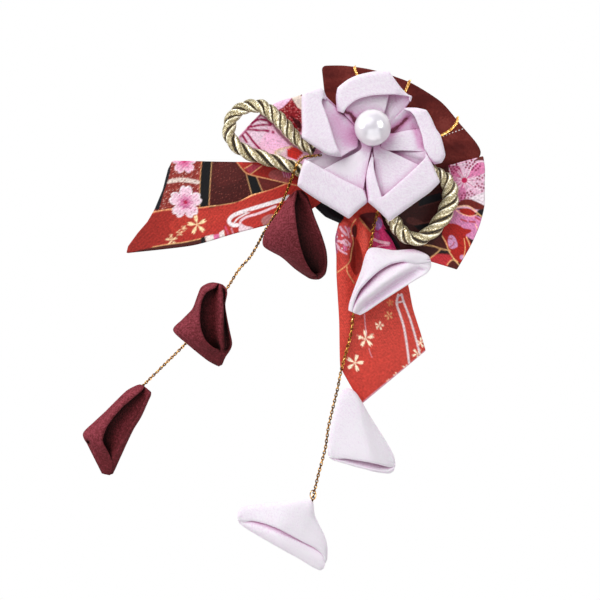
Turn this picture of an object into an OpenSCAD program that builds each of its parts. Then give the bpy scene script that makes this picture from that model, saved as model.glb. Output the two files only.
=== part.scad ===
/* [Cloth] */
// Thickness of the folded petals
petal_wall = 1; // [0.8:0.1:1.6]
// Thickness of the fan, the bow loop and the tails
band_wall = 1.2; // [1:0.1:2]

/* [Flower] */
// Height of the petals' lower layer at the middle of the flower
flower_z = 12.2; // [11.8:0.1:14]
// Half the height of a petal's outer fold
fold_r = 1.6; // [1.2:0.1:2.4]
// How far the free edge of a petal's band stands over its fold
lip_up = 0.5; // [0:0.1:2]
// Diameter of the pearl
pearl_d = 12; // [8:0.5:16]
// Height of the pearl's centre
pearl_z = 20.7; // [19.5:0.1:24]

/* [Cords and chains] */
// Diameter of the twisted cord
cord_d = 4.6; // [3:0.1:6]
// Width of the fine chain
chain_d = 1.3; // [0.8:0.1:2]

/* [Hanging petals] */
// Half the height of a hanging petal's fold
drop_fold_r = 0.9; // [0.8:0.1:1.6]
// Height of the open edge of a maroon petal
left_mouth = 6.5; // [3:0.5:9]
// Height of the open edge of a pale petal
right_mouth = 5.5; // [3:0.5:9]

/* [Clip] */
// Length of the clip
clip_len = 42; // [36:1:60]
// Width of the clip
clip_w = 9; // [6:0.5:12]
// Height of the clip's upper leaf
clip_h = 8.9; // [7:0.1:9]
// Thickness of each leaf
leaf_t = 1.2; // [0.8:0.1:1.6]

/* [Hidden] */

BROWN = [0.36, 0.13, 0.13];
PRINT = [0.72, 0.16, 0.14];
PALE = [0.93, 0.87, 0.93];
MAROON = [0.45, 0.15, 0.22];
GOLD = [0.8, 0.68, 0.4];
STEEL = [0.7, 0.7, 0.72];
PEARL = [0.95, 0.95, 0.96];

// How tightly a curve through table rows turns, and stations for each row of a table
TENSION = 0.4;
PER_ROW = 2;
// Share of the band's width that the tongue reaches under it, the height of the turn at the petal's
// inner end, and how much of its width the back layer keeps half way out
TUCK = 0.4;
TURN = 1.9;
WAIST = 0.8;

function mix(a, b, f) = a * (1 - f) + b * f;
function unit(v) = v / max(norm(v), 0.0001);

// Smooth curve through the rows of a table, v from 0 to 1
function along(tab, v) =
    let (n = len(tab) - 1, u = min(v * n, n - 0.0001), i = floor(u), f = u - i,
        a = tab[i], b = tab[i + 1],
        da = (b - tab[max(i - 1, 0)]) * TENSION, db = (tab[min(i + 2, n)] - a) * TENSION)
    a * (2 * f * f * f - 3 * f * f + 1) + b * (3 * f * f - 2 * f * f * f)
        + da * (f * f * f - 2 * f * f + f) + db * (f * f * f - f * f);

function grid_normal(g, i, j) =
    let (m = len(g) - 1, n = len(g[0]) - 1,
        du = g[min(i + 1, m)][j] - g[max(i - 1, 0)][j],
        dv = g[i][min(j + 1, n)] - g[i][max(j - 1, 0)])
    unit(cross(du, dv));

// Closed sheet of cloth with its middle surface through a grid of points
module cloth(g, wall) {
    m = len(g);
    n = len(g[0]);
    side = m * n;
    shell = [for (s = [0.5, -0.5], i = [0 : m - 1], j = [0 : n - 1])
        g[i][j] + grid_normal(g, i, j) * wall * s];
    top = [for (i = [0 : m - 2], j = [0 : n - 2]) let (a = i * n + j)
        each [[a, a + 1, a + n + 1], [a, a + n + 1, a + n]]];
    ends = [for (j = [0 : n - 2], k = [0, 1]) let (a = j + k * (m - 1) * n, b = a + 1)
        each k == 0 ? [[a, a + side, b + side], [a, b + side, b]]
            : [[a, b + side, a + side], [a, b, b + side]]];
    edges = [for (i = [0 : m - 2], k = [0, 1]) let (a = i * n + k * (n - 1), b = a + n)
        each k == 0 ? [[a, b + side, a + side], [a, b, b + side]]
            : [[a, a + side, b + side], [a, b + side, b]]];
    bottom = [for (f = top) [f[2] + side, f[1] + side, f[0] + side]];
    polyhedron(concat(shell), concat(top, bottom, ends, edges));
}

// Round cord swept through a table of route points
module tube(route, d, sides, rings) {
    p = [for (i = [0 : rings]) along(route, i / rings)];
    pts = [for (i = [0 : rings])
        let (t = unit(p[min(i + 1, rings)] - p[max(i - 1, 0)]), across = unit(cross([0, 0, 1], t)),
            up = cross(t, across))
        for (k = [0 : sides - 1])
            p[i] + (across * cos(360 * k / sides) + up * sin(360 * k / sides)) * d / 2];
    skin = [for (i = [0 : rings - 1], k = [0 : sides - 1])
        let (a = i * sides + k, b = i * sides + (k + 1) % sides)
        each [[a, b + sides, b], [a, a + sides, b + sides]]];
    first = [for (k = [0 : sides - 1]) k];
    last = [for (k = [0 : sides - 1]) rings * sides + sides - 1 - k];
    polyhedron(pts, concat(skin, [first, last]));
}

// Flat band between two edges, with soft ripples that run along it
// columns: edge a x, y, z, edge b x, y, z, ripple height
module band(tab, across, waves, wall) {
    st = (len(tab) - 1) * PER_ROW;
    cloth([for (i = [0 : st]) let (r = along(tab, i / st), a = [r[0], r[1], r[2]], b = [r[3], r[4], r[5]])
        [for (j = [0 : across]) mix(a, b, j / across) + [0, 0, r[6] * sin(360 * waves * j / across)]]],
        wall);
}

// Section of a flower petal. The cloth runs from a tongue under the band inward to the middle,
// turns, runs outward as the back layer, folds over at the outline and ends at the band's lip.
// columns: fold x, y, z, lip x, y
function petal_section(tab, k0, k1, tongue, t) =
    let (r = along(tab, t), l = [r[3], r[4]], fz = r[2],
        f = [r[0], r[1]] + unit(l - [r[0], r[1]]) * petal_wall / 2,
        k = mix(k0, k1, t), inward = unit(k - f) * 0.7, back = unit(l - f) * min(1.3, norm(l - f) * 0.45),
        u = along(tab, mix(tongue[0], tongue[1], t)), tip = mix([u[3], u[4]], [u[0], u[1]], TUCK),
        tw = 0.5 + (t - 0.5) * WAIST, w = along(tab, tw),
        middle = mix(mix(k0, k1, tw), [w[0], w[1]], 0.55), half = mix(k, tip, 0.5), rim = mix(f, l, 0.55))
    [
        [tip.x, tip.y, u[2] - 0.1],
        [half.x, half.y, mix(flower_z + TURN, u[2], 0.5) + 0.5],
        [k.x, k.y, flower_z + TURN],
        [k.x + inward.x, k.y + inward.y, flower_z + TURN / 2],
        [k.x, k.y, flower_z],
        [middle.x, middle.y, mix(flower_z, fz - fold_r, 0.5)],
        [f.x + back.x, f.y + back.y, fz - fold_r],
        [f.x, f.y, fz],
        [f.x + back.x, f.y + back.y, fz + fold_r],
        [rim.x, rim.y, fz + fold_r + lip_up],
        [l.x, l.y, fz + fold_r + lip_up]
    ];

module petal(tab, k0, k1, tongue) {
    st = (len(tab) - 1) * PER_ROW;
    color(PALE) cloth([for (i = [0 : st]) petal_section(tab, k0, k1, tongue, i / st)], petal_wall);
}

// Section of a hanging petal: back rim, back layer, fold at the outline, front layer, mouth lip
// columns: rim x, y, fold x, y, lip x, y, height of the back layer
function drop_section(tab, mouth, rim_up, t) =
    let (r = along(tab, t), k = [r[0], r[1]], l = [r[4], r[5]], z = r[6],
        f = [r[2], r[3]] + unit(l - [r[2], r[3]]) * petal_wall / 2,
        open = 0.25 + 0.75 * sin(180 * t), top = z + 2 * drop_fold_r,
        back = unit(l - f) * min(1.1, norm(l - f) * 0.4),
        low = mix(k, f, 0.35), deep = mix(k, f, 0.7), front = mix(f, l, 0.45), near = mix(f, l, 0.75))
    [
        [k.x, k.y, z + rim_up * open],
        [low.x, low.y, z + rim_up * open * 0.3],
        [deep.x, deep.y, z],
        [f.x + back.x, f.y + back.y, z],
        [f.x, f.y, z + drop_fold_r],
        [f.x + back.x, f.y + back.y, top],
        [front.x, front.y, mix(top, z + mouth, 0.5 * open)],
        [near.x, near.y, mix(top, z + mouth, 0.85 * open)],
        [l.x, l.y, mix(top, z + mouth, 0.9 * open)]
    ];

module drop(tab, mouth, rim_up, colour) {
    st = (len(tab) - 1) * PER_ROW;
    color(colour) cloth([for (i = [0 : st]) drop_section(tab, mouth, rim_up, i / st)], petal_wall);
}

// Clip under the flower, its side view drawn in x and z: two leaves joined near the left end, the
// upper one bent down to the lower one at the right end
module clip() {
    c = clip_len / 2;
    tip = 7;
    bite = leaf_t + 0.6;
    under = clip_h - leaf_t;
    post = -c / 2;
    color(STEEL) rotate([90, 0, 0]) linear_extrude(clip_w, center = true) polygon([
        [-c, 0], [c, 0], [c, leaf_t], [post + leaf_t * 2, leaf_t], [post + leaf_t * 2, under],
        [c - tip, under], [c - leaf_t, bite], [c, bite], [c, clip_h], [-c, clip_h],
        [-c, under], [post, under], [post, leaf_t], [-c, leaf_t]
    ]);
}

// Cloth pieces of the fan and the bow
module fan_plain() {
    color(BROWN) band([
        [-14, 2.5, 10, -16.5, 25.5, 10, 0],
        [-8, 0.5, 10, -9, 25.5, 10.1, 0.1],
        [-3, 0, 10, 0.5, 24, 10.2, 0.2],
        [2, 0, 10, 12.5, 20, 10.2, 0.2],
        [6, -0.5, 10, 23, 13.5, 10.1, 0.2],
        [8, -2, 10, 29.5, 6, 10, 0.1],
        [9, -3, 10, 35, -0.5, 10, 0],
        [9.5, -4.5, 10, 35.8, -3.8, 9.7, 0],
        [10, -6, 10, 30, -8.5, 9.4, 0]
    ], 6, 2, band_wall);
}

module fan_print() {
    color(PRINT) band([
        [25.8, -8, 11.5, 37, -4, 11.5, 0],
        [22, -9.6, 10.3, 37.5, -8.5, 11.5, 0],
        [14, -11.5, 10.3, 37.5, -14.5, 10.8, 0.1],
        [8, -13.5, 10.4, 37.5, -21, 10.4, 0.2],
        [6.5, -19, 10, 36, -27.5, 9.8, 0.2],
        [7, -26, 9.9, 33, -34.5, 9.2, 0.1],
        [9.5, -35, 9.6, 28.6, -42.2, 8.6, 0]
    ], 6, 1.5, band_wall);
}

// Loop folded double, fold at its left edge
// columns: fold x, y, root x, y
module loop_left() {
    tab = [
        [-45, 0.5, -14, -5.5],
        [-43.5, 2.5, -15, -1],
        [-37, 9.5, -15.6, 5],
        [-31.5, 13.5, -16.2, 10],
        [-25, 16, -17.4, 18.6]
    ];
    low = 9.9;
    gap = 1.7;
    st = (len(tab) - 1) * PER_ROW;
    color(PRINT) cloth([for (i = [0 : st]) let (r = along(tab, i / st), f = [r[0], r[1]], k = [r[2], r[3]],
            back = unit(k - f) * 0.9, puff = 0.4 * sin(180 * i / st))
        [
            [k.x, k.y, low],
            [mix(k, f, 0.5).x, mix(k, f, 0.5).y, low],
            [f.x + back.x, f.y + back.y, low],
            [f.x, f.y, low + gap / 2],
            [f.x + back.x, f.y + back.y, low + gap],
            [mix(k, f, 0.7).x, mix(k, f, 0.7).y, low + gap + puff],
            [mix(k, f, 0.35).x, mix(k, f, 0.35).y, low + gap],
            [k.x, k.y, low + gap]
        ]], 1);
}

module tail_left() {
    color(PRINT) band([
        [-4, -4.5, 9.9, -5, -11.5, 9.9, 0.1],
        [-14, -7, 9.9, -15.5, -18.8, 9.8, 0.2],
        [-22, -7.5, 9.8, -24, -24.2, 9.4, 0.3],
        [-32, -7, 9, -34, -27, 8.3, 0.3],
        [-43, -6.5, 6.8, -46, -30, 6, 0.4],
        [-55, -6, 3.6, -61, -34, 2.9, 0.3],
        [-67.5, -5.5, 1.2, -83, -36.5, 1.1, 0.2]
    ], 6, 1, band_wall);
}

module tail_lower() {
    color(PRINT) band([
        [-4, -15, 9.9, 3, -15, 9.9, 0.4],
        [-17.2, -22.4, 9.9, 2.5, -22, 9.9, 0.6],
        [-11.4, -27.2, 9.7, 4, -28, 9.7, 0.6],
        [-12, -32, 9.2, 6.8, -33, 9.2, 0.5],
        [-11.5, -44, 7.8, 11, -43, 7.8, 0.4],
        [-10.5, -60, 5, 14, -56, 5.4, 0.4],
        [-10, -75.5, 2.2, 16.5, -63.5, 3.6, 0.2],
        [-3, -88, 0.9, 18.5, -70, 1.8, 0]
    ], 6, 2.5, band_wall);
}

// Cords
// columns: x, y, z
module cord_loop_left() {
    color(GOLD) tube([
        [-19.5, -3, 15.2], [-23, -1, 15.2], [-26.5, 2, 15.2], [-29, 5, 15.2], [-32.5, 8.5, 15.2],
        [-37, 11.5, 15], [-42, 11.5, 14], [-46, 9, 13.4], [-47.6, 5, 13.6], [-47.2, 1, 14],
        [-44.5, -2, 14.2], [-41, -4, 14], [-36, -5.5, 13.8], [-31, -7, 13.5], [-26.5, -8.5, 13.4],
        [-23, -10, 13.2]
    ], cord_d, 12, 30);
}

module cord_loop_right() {
    color(GOLD) tube([
        [19.6, -9, 13.4], [22, -10.4, 13.6], [24.6, -12.8, 14.1], [26, -16.4, 14.2], [25.8, -20, 13.9],
        [24.4, -23.6, 13.5], [22.4, -27, 13.3], [19.9, -29.8, 13.2], [16.9, -32, 13.1], [13, -32.4, 13.1],
        [9.5, -30, 13.1], [7.6, -27, 13.1], [6.4, -24.8, 13]
    ], cord_d, 12, 24);
}

// Petals of the flower, their rows run clockwise
// columns: fold x, y, z, lip x, y
module petal_1() {
    petal([
        [-12.5, 11.5, 17.2, -9.5, 10],
        [-12, 17, 17.2, -7.5, 11],
        [-5, 21, 17.2, -3.5, 12.5],
        [4.5, 22.5, 17.2, 4, 14],
        [11, 16.5, 17.2, 9, 14.5],
        [13, 13.5, 17.2, 11.5, 13.8],
        [12, 11.5, 17.2, 11.2, 12.5]
    ], [-4.2, 6.2], [5.6, 5.2], [0.3, 0.8]);
}

module petal_2() {
    petal([
        [12, 10, 17.2, 11, 9.2],
        [17.5, 10, 17.2, 12, 7],
        [20.5, 6.5, 17.2, 14, 4],
        [22.5, 1.5, 17.6, 15.5, 1],
        [24, -5, 18, 16.9, -1.6],
        [22.6, -8.4, 18.1, 18.9, -3.3],
        [20.7, -8.2, 18.1, 20.1, -6.2]
    ], [5.8, 3.2], [4.6, -1.4], [0.4, 0.72]);
}

module petal_3() {
    petal([
        [17, -4.6, 19, 16.1, -5.4],
        [18.7, -8.8, 19, 16.4, -7.2],
        [21.8, -14.4, 19, 15, -9.5],
        [13.6, -21.2, 18.4, 9.5, -14.5],
        [5.5, -27, 18.2, 5, -18.5],
        [0.2, -21.3, 18, 2.8, -20],
        [-1.4, -13, 17.6, 1.2, -14.5],
        [-0.5, -7.5, 17, 0.6, -8]
    ], [3.2, -3], [1.5, -2.6], [0.28, 0.7]);
}

module petal_4() {
    petal([
        [-1.9, -21, 17.4, -2.8, -17.8],
        [-7.5, -26, 17.6, -6, -15.5],
        [-16, -21, 17.8, -12.5, -12],
        [-24.6, -15.5, 18.2, -19, -9],
        [-24, -10.5, 18.3, -20.8, -7.8],
        [-22, -7.2, 18.3, -21.3, -7.6]
    ], [-0.2, -2.7], [-3.6, -2.2], [0.12, 0.58]);
}

module petal_5() {
    petal([
        [-11.4, -5.4, 19.6, -11.2, -4.6],
        [-17.5, -3.4, 19.6, -12, -3.2],
        [-24.5, 2.5, 19.6, -13, 0.5],
        [-23.7, 10, 18.8, -14.5, 5.5],
        [-23, 16, 18, -16, 11],
        [-18, 17, 17.6, -16.6, 13],
        [-15, 12.8, 17.4, -15.4, 12.2]
    ], [-4.8, -0.8], [-5.4, 4], [0.2, 0.9]);
}

module pearl() {
    color(PEARL) translate([-0.2, 3.8, pearl_z]) sphere(d = pearl_d, $fn = 96);
}

// Chains
// columns: x, y, z
module chain_left() {
    color(GOLD) tube([
        [-17.5, -4.8, 16.2], [-20, -5.2, 17.2], [-22.5, -5.6, 17.7], [-24.8, -7.5, 17.6],
        [-26, -10.5, 16.7], [-27.5, -14, 13.8], [-29, -18, 11.6], [-31.5, -22.5, 10.6],
        [-34, -26.8, 10], [-36.2, -30, 8.2], [-38.2, -33.5, 4.2], [-41, -38, 1.1], [-45, -42.5, 0.8],
        [-49, -48.8, 0.8], [-56.5, -59, 0.8], [-63, -67.5, 0.8], [-70, -74.5, 0.8], [-79, -83.3, 0.8]
    ], chain_d, 8, 48);
}

module chain_right() {
    color(GOLD) tube([
        [2.4, -22, 12.6], [1.5, -25, 12.4], [0.5, -29, 12.1], [-0.5, -35, 11.2], [-3.7, -46, 9.6],
        [-6, -57.5, 7.2], [-7, -65, 5.8], [-10, -76.5, 3.7], [-11.2, -83, 1], [-14.2, -95.5, 0.8],
        [-15.6, -103.5, 0.8], [-18.4, -113, 0.8], [-21.4, -123.5, 0.8]
    ], chain_d, 8, 44);
}

// Hanging petals
// columns: rim x, y, fold x, y, lip x, y, height of the back layer
module drop_left_1() {
    drop([
        [-23.5, -15.5, -27.5, -16.5, -26.2, -16.6, 12.8],
        [-21.5, -19, -31, -21, -26.5, -20.5, 12.7],
        [-20.5, -23.5, -34, -27, -26, -25, 12.2],
        [-18.5, -28.5, -36.5, -32.5, -25, -30.5, 10.2],
        [-16.5, -33.5, -34.5, -35.5, -23.5, -35.5, 7.4],
        [-15.5, -38, -28.5, -39.2, -22, -39.5, 4.8],
        [-15.3, -41.5, -23, -43.5, -20.5, -42.5, 2.8],
        [-16.5, -44.6, -19.5, -45.5, -18.2, -44.4, 1.4]
    ], left_mouth, 2.5, MAROON);
}

module drop_left_2() {
    drop([
        [-50.5, -47.6, -55.5, -47.3, -54, -47.9, 2.4],
        [-49.5, -49.5, -58, -49.2, -57, -49.8, 2.4],
        [-49.5, -54, -59.5, -52.5, -57.5, -53, 2.3],
        [-49.5, -58.5, -63, -58, -58, -58, 2.3],
        [-48.5, -62.5, -67, -62.5, -57.5, -62.5, 2.3],
        [-47.5, -66.5, -63, -67.2, -56.5, -65.5, 2.3],
        [-47.5, -69, -56.5, -72.5, -54.5, -68, 2],
        [-48.5, -70.7, -51.5, -75.5, -51, -69.5, 1.6]
    ], left_mouth, 2, MAROON);
}

module drop_left_3() {
    drop([
        [-76.2, -82.6, -80.5, -82.8, -78.5, -83, 2.3],
        [-75.5, -84.5, -86, -86, -81.5, -85.8, 2.2],
        [-76.5, -88.5, -90, -90, -85, -89.5, 1.8],
        [-79, -93, -94.5, -94.5, -88.5, -94, 1.4],
        [-81, -97.5, -98, -98.5, -90.5, -98, 1],
        [-83.5, -102.5, -96.5, -103.5, -91, -102, 0.8],
        [-86.5, -108, -93.5, -107.5, -91, -106.5, 0.8],
        [-88.5, -111.5, -90.5, -112, -90, -110.8, 0.8]
    ], left_mouth, 2.5, MAROON);
}

module drop_right_1() {
    drop([
        [-6.2, -57.4, -8.2, -55, -7.2, -55.8, 9.8],
        [-3.5, -57.8, -7, -50.5, -5.5, -52, 10.6],
        [1, -55, -4.5, -43.5, -2.5, -48.5, 11.5],
        [5.5, -52, 0, -36.2, 1.5, -44.5, 12.2],
        [10, -49.5, 7, -37, 6, -42, 12],
        [14.5, -47, 13, -36.8, 10, -40, 11.4],
        [17.5, -44.5, 17.5, -37.4, 12.5, -40, 11],
        [19.5, -42.5, 20, -40, 14.5, -41, 10.8]
    ], right_mouth, 2, PALE);
}

module drop_right_2() {
    drop([
        [-12.5, -107.5, -14.6, -105.5, -12.5, -106, 1.8],
        [-8.5, -108.5, -13, -95.5, -9, -106, 2.2],
        [-5.5, -109.5, -11, -84.6, -6, -106.5, 2.4],
        [-2.5, -110.5, -8, -82.5, -3, -107, 2.6],
        [0.5, -111.5, -4.5, -85, -0.5, -107.5, 2.6],
        [3, -112, 2.5, -96.5, 2.5, -108.5, 1.6],
        [6, -112, 8, -105.5, 4.5, -108.5, 1],
        [7.5, -111.5, 9, -109.5, 6.5, -109.8, 0.8]
    ], right_mouth, 1.5, PALE);
}

module drop_right_3() {
    drop([
        [-44.5, -129.5, -45.5, -126.5, -43.8, -127.5, 0.8],
        [-41, -132.5, -42.5, -123, -40, -127.5, 0.8],
        [-34.5, -136.5, -31, -122, -35, -129.5, 1.2],
        [-28, -139.5, -21, -120.8, -29.5, -132, 2.4],
        [-24, -142, -18.5, -127, -25, -134, 1.8],
        [-21, -143.5, -16, -133, -21, -136, 1.2],
        [-18.5, -144.5, -15, -139, -17.5, -138.5, 0.9],
        [-17, -144.5, -15.5, -142, -16.2, -141.5, 0.8]
    ], right_mouth, 2, PALE);
}

clip();
fan_plain();
fan_print();
loop_left();
tail_left();
tail_lower();
cord_loop_left();
cord_loop_right();
petal_1();
petal_2();
petal_3();
petal_4();
petal_5();
pearl();
chain_left();
chain_right();
drop_left_1();
drop_left_2();
drop_left_3();
drop_right_1();
drop_right_2();
drop_right_3();
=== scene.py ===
import math

import bpy
import numpy as np
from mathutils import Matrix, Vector


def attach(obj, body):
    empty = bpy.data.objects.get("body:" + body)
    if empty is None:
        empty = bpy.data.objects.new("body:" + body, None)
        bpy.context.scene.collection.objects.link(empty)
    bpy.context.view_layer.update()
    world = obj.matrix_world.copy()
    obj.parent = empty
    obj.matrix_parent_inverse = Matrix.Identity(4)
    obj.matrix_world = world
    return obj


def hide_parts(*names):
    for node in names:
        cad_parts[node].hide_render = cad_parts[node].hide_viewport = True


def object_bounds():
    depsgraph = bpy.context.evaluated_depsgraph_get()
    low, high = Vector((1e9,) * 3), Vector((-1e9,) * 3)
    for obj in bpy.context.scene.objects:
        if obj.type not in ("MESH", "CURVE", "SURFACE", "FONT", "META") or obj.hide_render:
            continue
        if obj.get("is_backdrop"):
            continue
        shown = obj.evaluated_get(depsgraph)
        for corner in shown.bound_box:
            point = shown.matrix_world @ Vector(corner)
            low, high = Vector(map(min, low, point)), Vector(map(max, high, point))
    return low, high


# A hair clip dressed with a folded cloth flower and a pearl, a bow and a fan of printed crepe, loops of
# gold cord, and two fine chains that carry folded petals. Sizes in the tables are millimetres.
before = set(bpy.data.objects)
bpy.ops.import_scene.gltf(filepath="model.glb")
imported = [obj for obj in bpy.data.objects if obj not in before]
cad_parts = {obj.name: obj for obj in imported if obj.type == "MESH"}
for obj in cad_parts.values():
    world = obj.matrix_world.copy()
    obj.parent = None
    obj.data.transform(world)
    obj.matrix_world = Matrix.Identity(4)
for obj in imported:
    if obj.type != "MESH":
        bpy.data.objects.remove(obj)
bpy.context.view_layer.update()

# Camera
# The camera looks straight down on the clip, which lies on a white table. It hangs half a metre above
# the table, over the middle of what the photo shows.


def new_object(name, data):
    """An object with that data, put in the scene."""
    made = bpy.data.objects.new(name, data)
    bpy.context.collection.objects.link(made)
    return made


eye = bpy.data.cameras.new("camera")
eye.sensor_width = 36
eye.lens = 87.63
camera = new_object("camera", eye)
camera.location = (-0.02405, -0.0528, 0.5)
bpy.context.scene.camera = camera

# Loops of gold cord
# Three strands of metallic thread laid to the right round each other. Each loop is free in the open
# and both its ends are sewn in under the petals.
MM = 0.001
CORD_DIAMETER = 4.6
STRANDS = 3
STRAND_OUT = 0.27  # strand centre from the cord's middle, as a share of the diameter
STRAND_RADIUS = 0.238  # also a share of the diameter
STRAND_SIDES = 20
PATTERN_STEP = 7.3  # shifts the thread pattern from one strand to the next


def linear(code):
    """sRGB hex to a linear colour with full alpha."""
    parts = [int(code[i:i + 2], 16) / 255 for i in (1, 3, 5)]
    return tuple(p / 12.92 if p <= 0.04045 else ((p + 0.055) / 1.055) ** 2.4 for p in parts) + (1.0,)


def add(tree, kind, links=None, **settings):
    """Adds a node. links gives each input, by name or number, a value or another node's output."""
    made = tree.nodes.new(kind)
    for name, value in settings.items():
        setattr(made, name, value)
    for name, value in (links or {}).items():
        if isinstance(value, bpy.types.NodeSocket):
            tree.links.new(value, made.inputs[name])
        else:
            made.inputs[name].default_value = value
    return made


def ramp(tree, factor, *stops):
    """Colour ramp through (place, hex) stops."""
    made = add(tree, "ShaderNodeValToRGB", {"Fac": factor})
    band = made.color_ramp
    while len(band.elements) < len(stops):
        band.elements.new(0.5)
    for element, (place, code) in zip(band.elements, stops):
        element.position = place
        element.color = linear(code)
    return made.outputs["Color"]


def noise(tree, where, scale, detail, roughness=0.5):
    """Soft random pattern, about 0 to 1, with features 1 / scale across."""
    return add(tree, "ShaderNodeTexNoise", {"Vector": where, "Scale": scale, "Detail": detail,
                                            "Roughness": roughness}).outputs["Fac"]


def mapped(tree, value, from_low=0.0, from_high=1.0, to_low=0.0, to_high=1.0):
    """Takes one range of values to another and stays at its ends."""
    return add(tree, "ShaderNodeMapRange", {"Value": value, "From Min": from_low, "From Max": from_high,
                                            "To Min": to_low, "To Max": to_high}).outputs["Result"]


def scaled(tree, value, by, plus=0.0):
    """value * by + plus."""
    return add(tree, "ShaderNodeMath", {0: value, 1: by, 2: plus}, operation="MULTIPLY_ADD").outputs[0]


def stretched(tree, where, scale=(1, 1, 1), turn=0.0):
    """Place scaled along each axis and turned by that many radians."""
    return add(tree, "ShaderNodeMapping", {"Vector": where, "Rotation": (0, 0, turn),
                                           "Scale": scale}).outputs["Vector"]


def object_place(tree):
    """Place in metres."""
    return add(tree, "ShaderNodeTexCoord").outputs["Object"]


def hidden_share(tree, reach):
    """1 in the open, less where other surfaces stand within that reach."""
    return add(tree, "ShaderNodeAmbientOcclusion", {"Distance": reach}, samples=8).outputs["AO"]


def new_finish(name, **sockets):
    """A material with one Principled shader. Values that are the same all over go on its own sockets."""
    made = bpy.data.materials.new(name)
    made.use_nodes = True
    shader = made.node_tree.nodes["Principled BSDF"]
    for socket, value in sockets.items():
        shader.inputs[socket.replace("_", " ")].default_value = value
    return made, made.node_tree, shader


def feed(shader, **sockets):
    """Links outputs of nodes to the shader's sockets."""
    for socket, output in sockets.items():
        shader.id_data.links.new(output, shader.inputs[socket.replace("_", " ")])


def relief(shader, height, strength, depth):
    """Bumps of that depth in metres."""
    bump = add(shader.id_data, "ShaderNodeBump", {"Height": height, "Strength": strength, "Distance": depth})
    feed(shader, Normal=bump.outputs["Normal"])


def eased(a, b, leave, arrive, f):
    """Smooth way from a to b, f from 0 to 1. leave and arrive are its directions at both ends."""
    return (a * (2 * f ** 3 - 3 * f ** 2 + 1) + b * (3 * f ** 2 - 2 * f ** 3)
            + leave * (f ** 3 - 2 * f ** 2 + f) + arrive * (f ** 3 - f ** 2))


def along(table, share, round_at=None):
    """Smooth curve through the rows of a table, share from 0 to 1, as in the part's source. round_at
    says for each row how round the turn is, from 0, a sharp corner, to 1."""
    table = np.array(table, float)
    last = len(table) - 1
    place = np.minimum(np.atleast_1d(share) * last, last - 0.0001)
    row = place.astype(int)
    f = (place - row)[:, None]
    a, b = table[row], table[row + 1]
    soft = np.ones(last + 1) if round_at is None else np.array(round_at, float)
    leave = (b - table[np.maximum(row - 1, 0)]) * 0.4 * soft[row][:, None]
    arrive = (table[np.minimum(row + 2, last)] - a) * 0.4 * soft[row + 1][:, None]
    return eased(a, b, leave, arrive, f)


def unit(vectors):
    return vectors / np.maximum(np.linalg.norm(vectors, axis=-1, keepdims=True), 1e-9)


def walk(path):
    """Distance walked to each point of a path."""
    return np.concatenate([[0], np.cumsum(np.linalg.norm(np.diff(path, axis=0), axis=1))])


def round_a_circle(steps):
    """Angles of that many even steps round a circle."""
    return np.arange(steps) * 2 * math.pi / steps


def ring_faces(rings, sides, closed=False):
    """Faces between rings of points, each ring and the next, and the last and the first if closed."""
    i = np.arange(rings if closed else rings - 1)[:, None]
    k = np.arange(sides)[None]
    i_next, k_next = (i + 1) % rings, (k + 1) % sides
    corners = (i * sides + k, i * sides + k_next, i_next * sides + k_next, i_next * sides + k)
    return np.stack([c.ravel() for c in corners], axis=1).tolist()


def mesh_piece(name, finish, points, faces, uv=None):
    """A smooth mesh from points in millimetres, with one uv, also in millimetres, at each point."""
    mesh = bpy.data.meshes.new(name)
    mesh.from_pydata((np.asarray(points) * MM).tolist(), [], [list(map(int, f)) for f in faces])
    if uv is not None:
        corner = np.zeros(len(mesh.loops), np.int32)
        mesh.loops.foreach_get("vertex_index", corner)
        layer = mesh.uv_layers.new(name="weave")
        layer.data.foreach_set("uv", np.asarray(uv, np.float32)[corner].ravel())
    mesh.polygons.foreach_set("use_smooth", np.ones(len(mesh.polygons), bool))
    mesh.update()
    mesh.materials.append(finish)
    return new_object(name, mesh)


def paint(piece, name, colours):
    """Stores one colour for each point of the mesh."""
    layer = piece.data.attributes.new(name, "FLOAT_COLOR", "POINT")
    layer.data.foreach_set("color", np.asarray(colours, np.float32).ravel())


def put_on(piece, name=None):
    """Gives a piece to the part's one body, in place of the solid of that name if it stands for one."""
    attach(piece, "root")
    if name:
        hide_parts(name)


def tube(path, radius, sides, first_out):
    """Closed round tube along path. first_out is the direction of its first side at each ring."""
    forward = unit(np.gradient(path, axis=0))
    out = unit(first_out - forward * np.sum(first_out * forward, axis=1, keepdims=True))
    side = np.cross(forward, out)
    turn = round_a_circle(sides)
    ring = out[:, None] * np.cos(turn)[None, :, None] + side[:, None] * np.sin(turn)[None, :, None]
    points = (path[:, None] + ring * radius[:, :, None]).reshape(-1, 3)
    rings = len(path)
    faces = ring_faces(rings, sides)
    faces.append(list(range(sides))[::-1])
    faces.append([(rings - 1) * sides + k for k in range(sides)])
    uv = np.stack([(turn * radius).ravel(), np.repeat(walk(path), sides)], axis=1)
    return points, faces, uv


# Metallic polyester thread with painted light and shade: a nearly white painted highlight where a strand's
# flank catches the lamp, olive on its back and brown black painted shade where two strands meet
gold_thread, tree, shader = new_finish("gold thread twisted", Metallic=0.35)
painted_strand_light = add(tree, "ShaderNodeAttribute", attribute_name="painted_strand_light")
level = add(tree, "ShaderNodeSeparateColor", {"Color": painted_strand_light.outputs["Color"]}).outputs["Red"]
weave = add(tree, "ShaderNodeUVMap", uv_map="weave").outputs["UV"]
# threads of 0.25 mm, drawn at 0.5 mm so that they show
threads = add(tree, "ShaderNodeTexWave", {"Vector": stretched(tree, weave, turn=0.5), "Scale": 0.62,
                                          "Distortion": 2.5, "Detail": 2.0, "Detail Scale": 1.6},
              bands_direction="X").outputs["Fac"]
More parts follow.
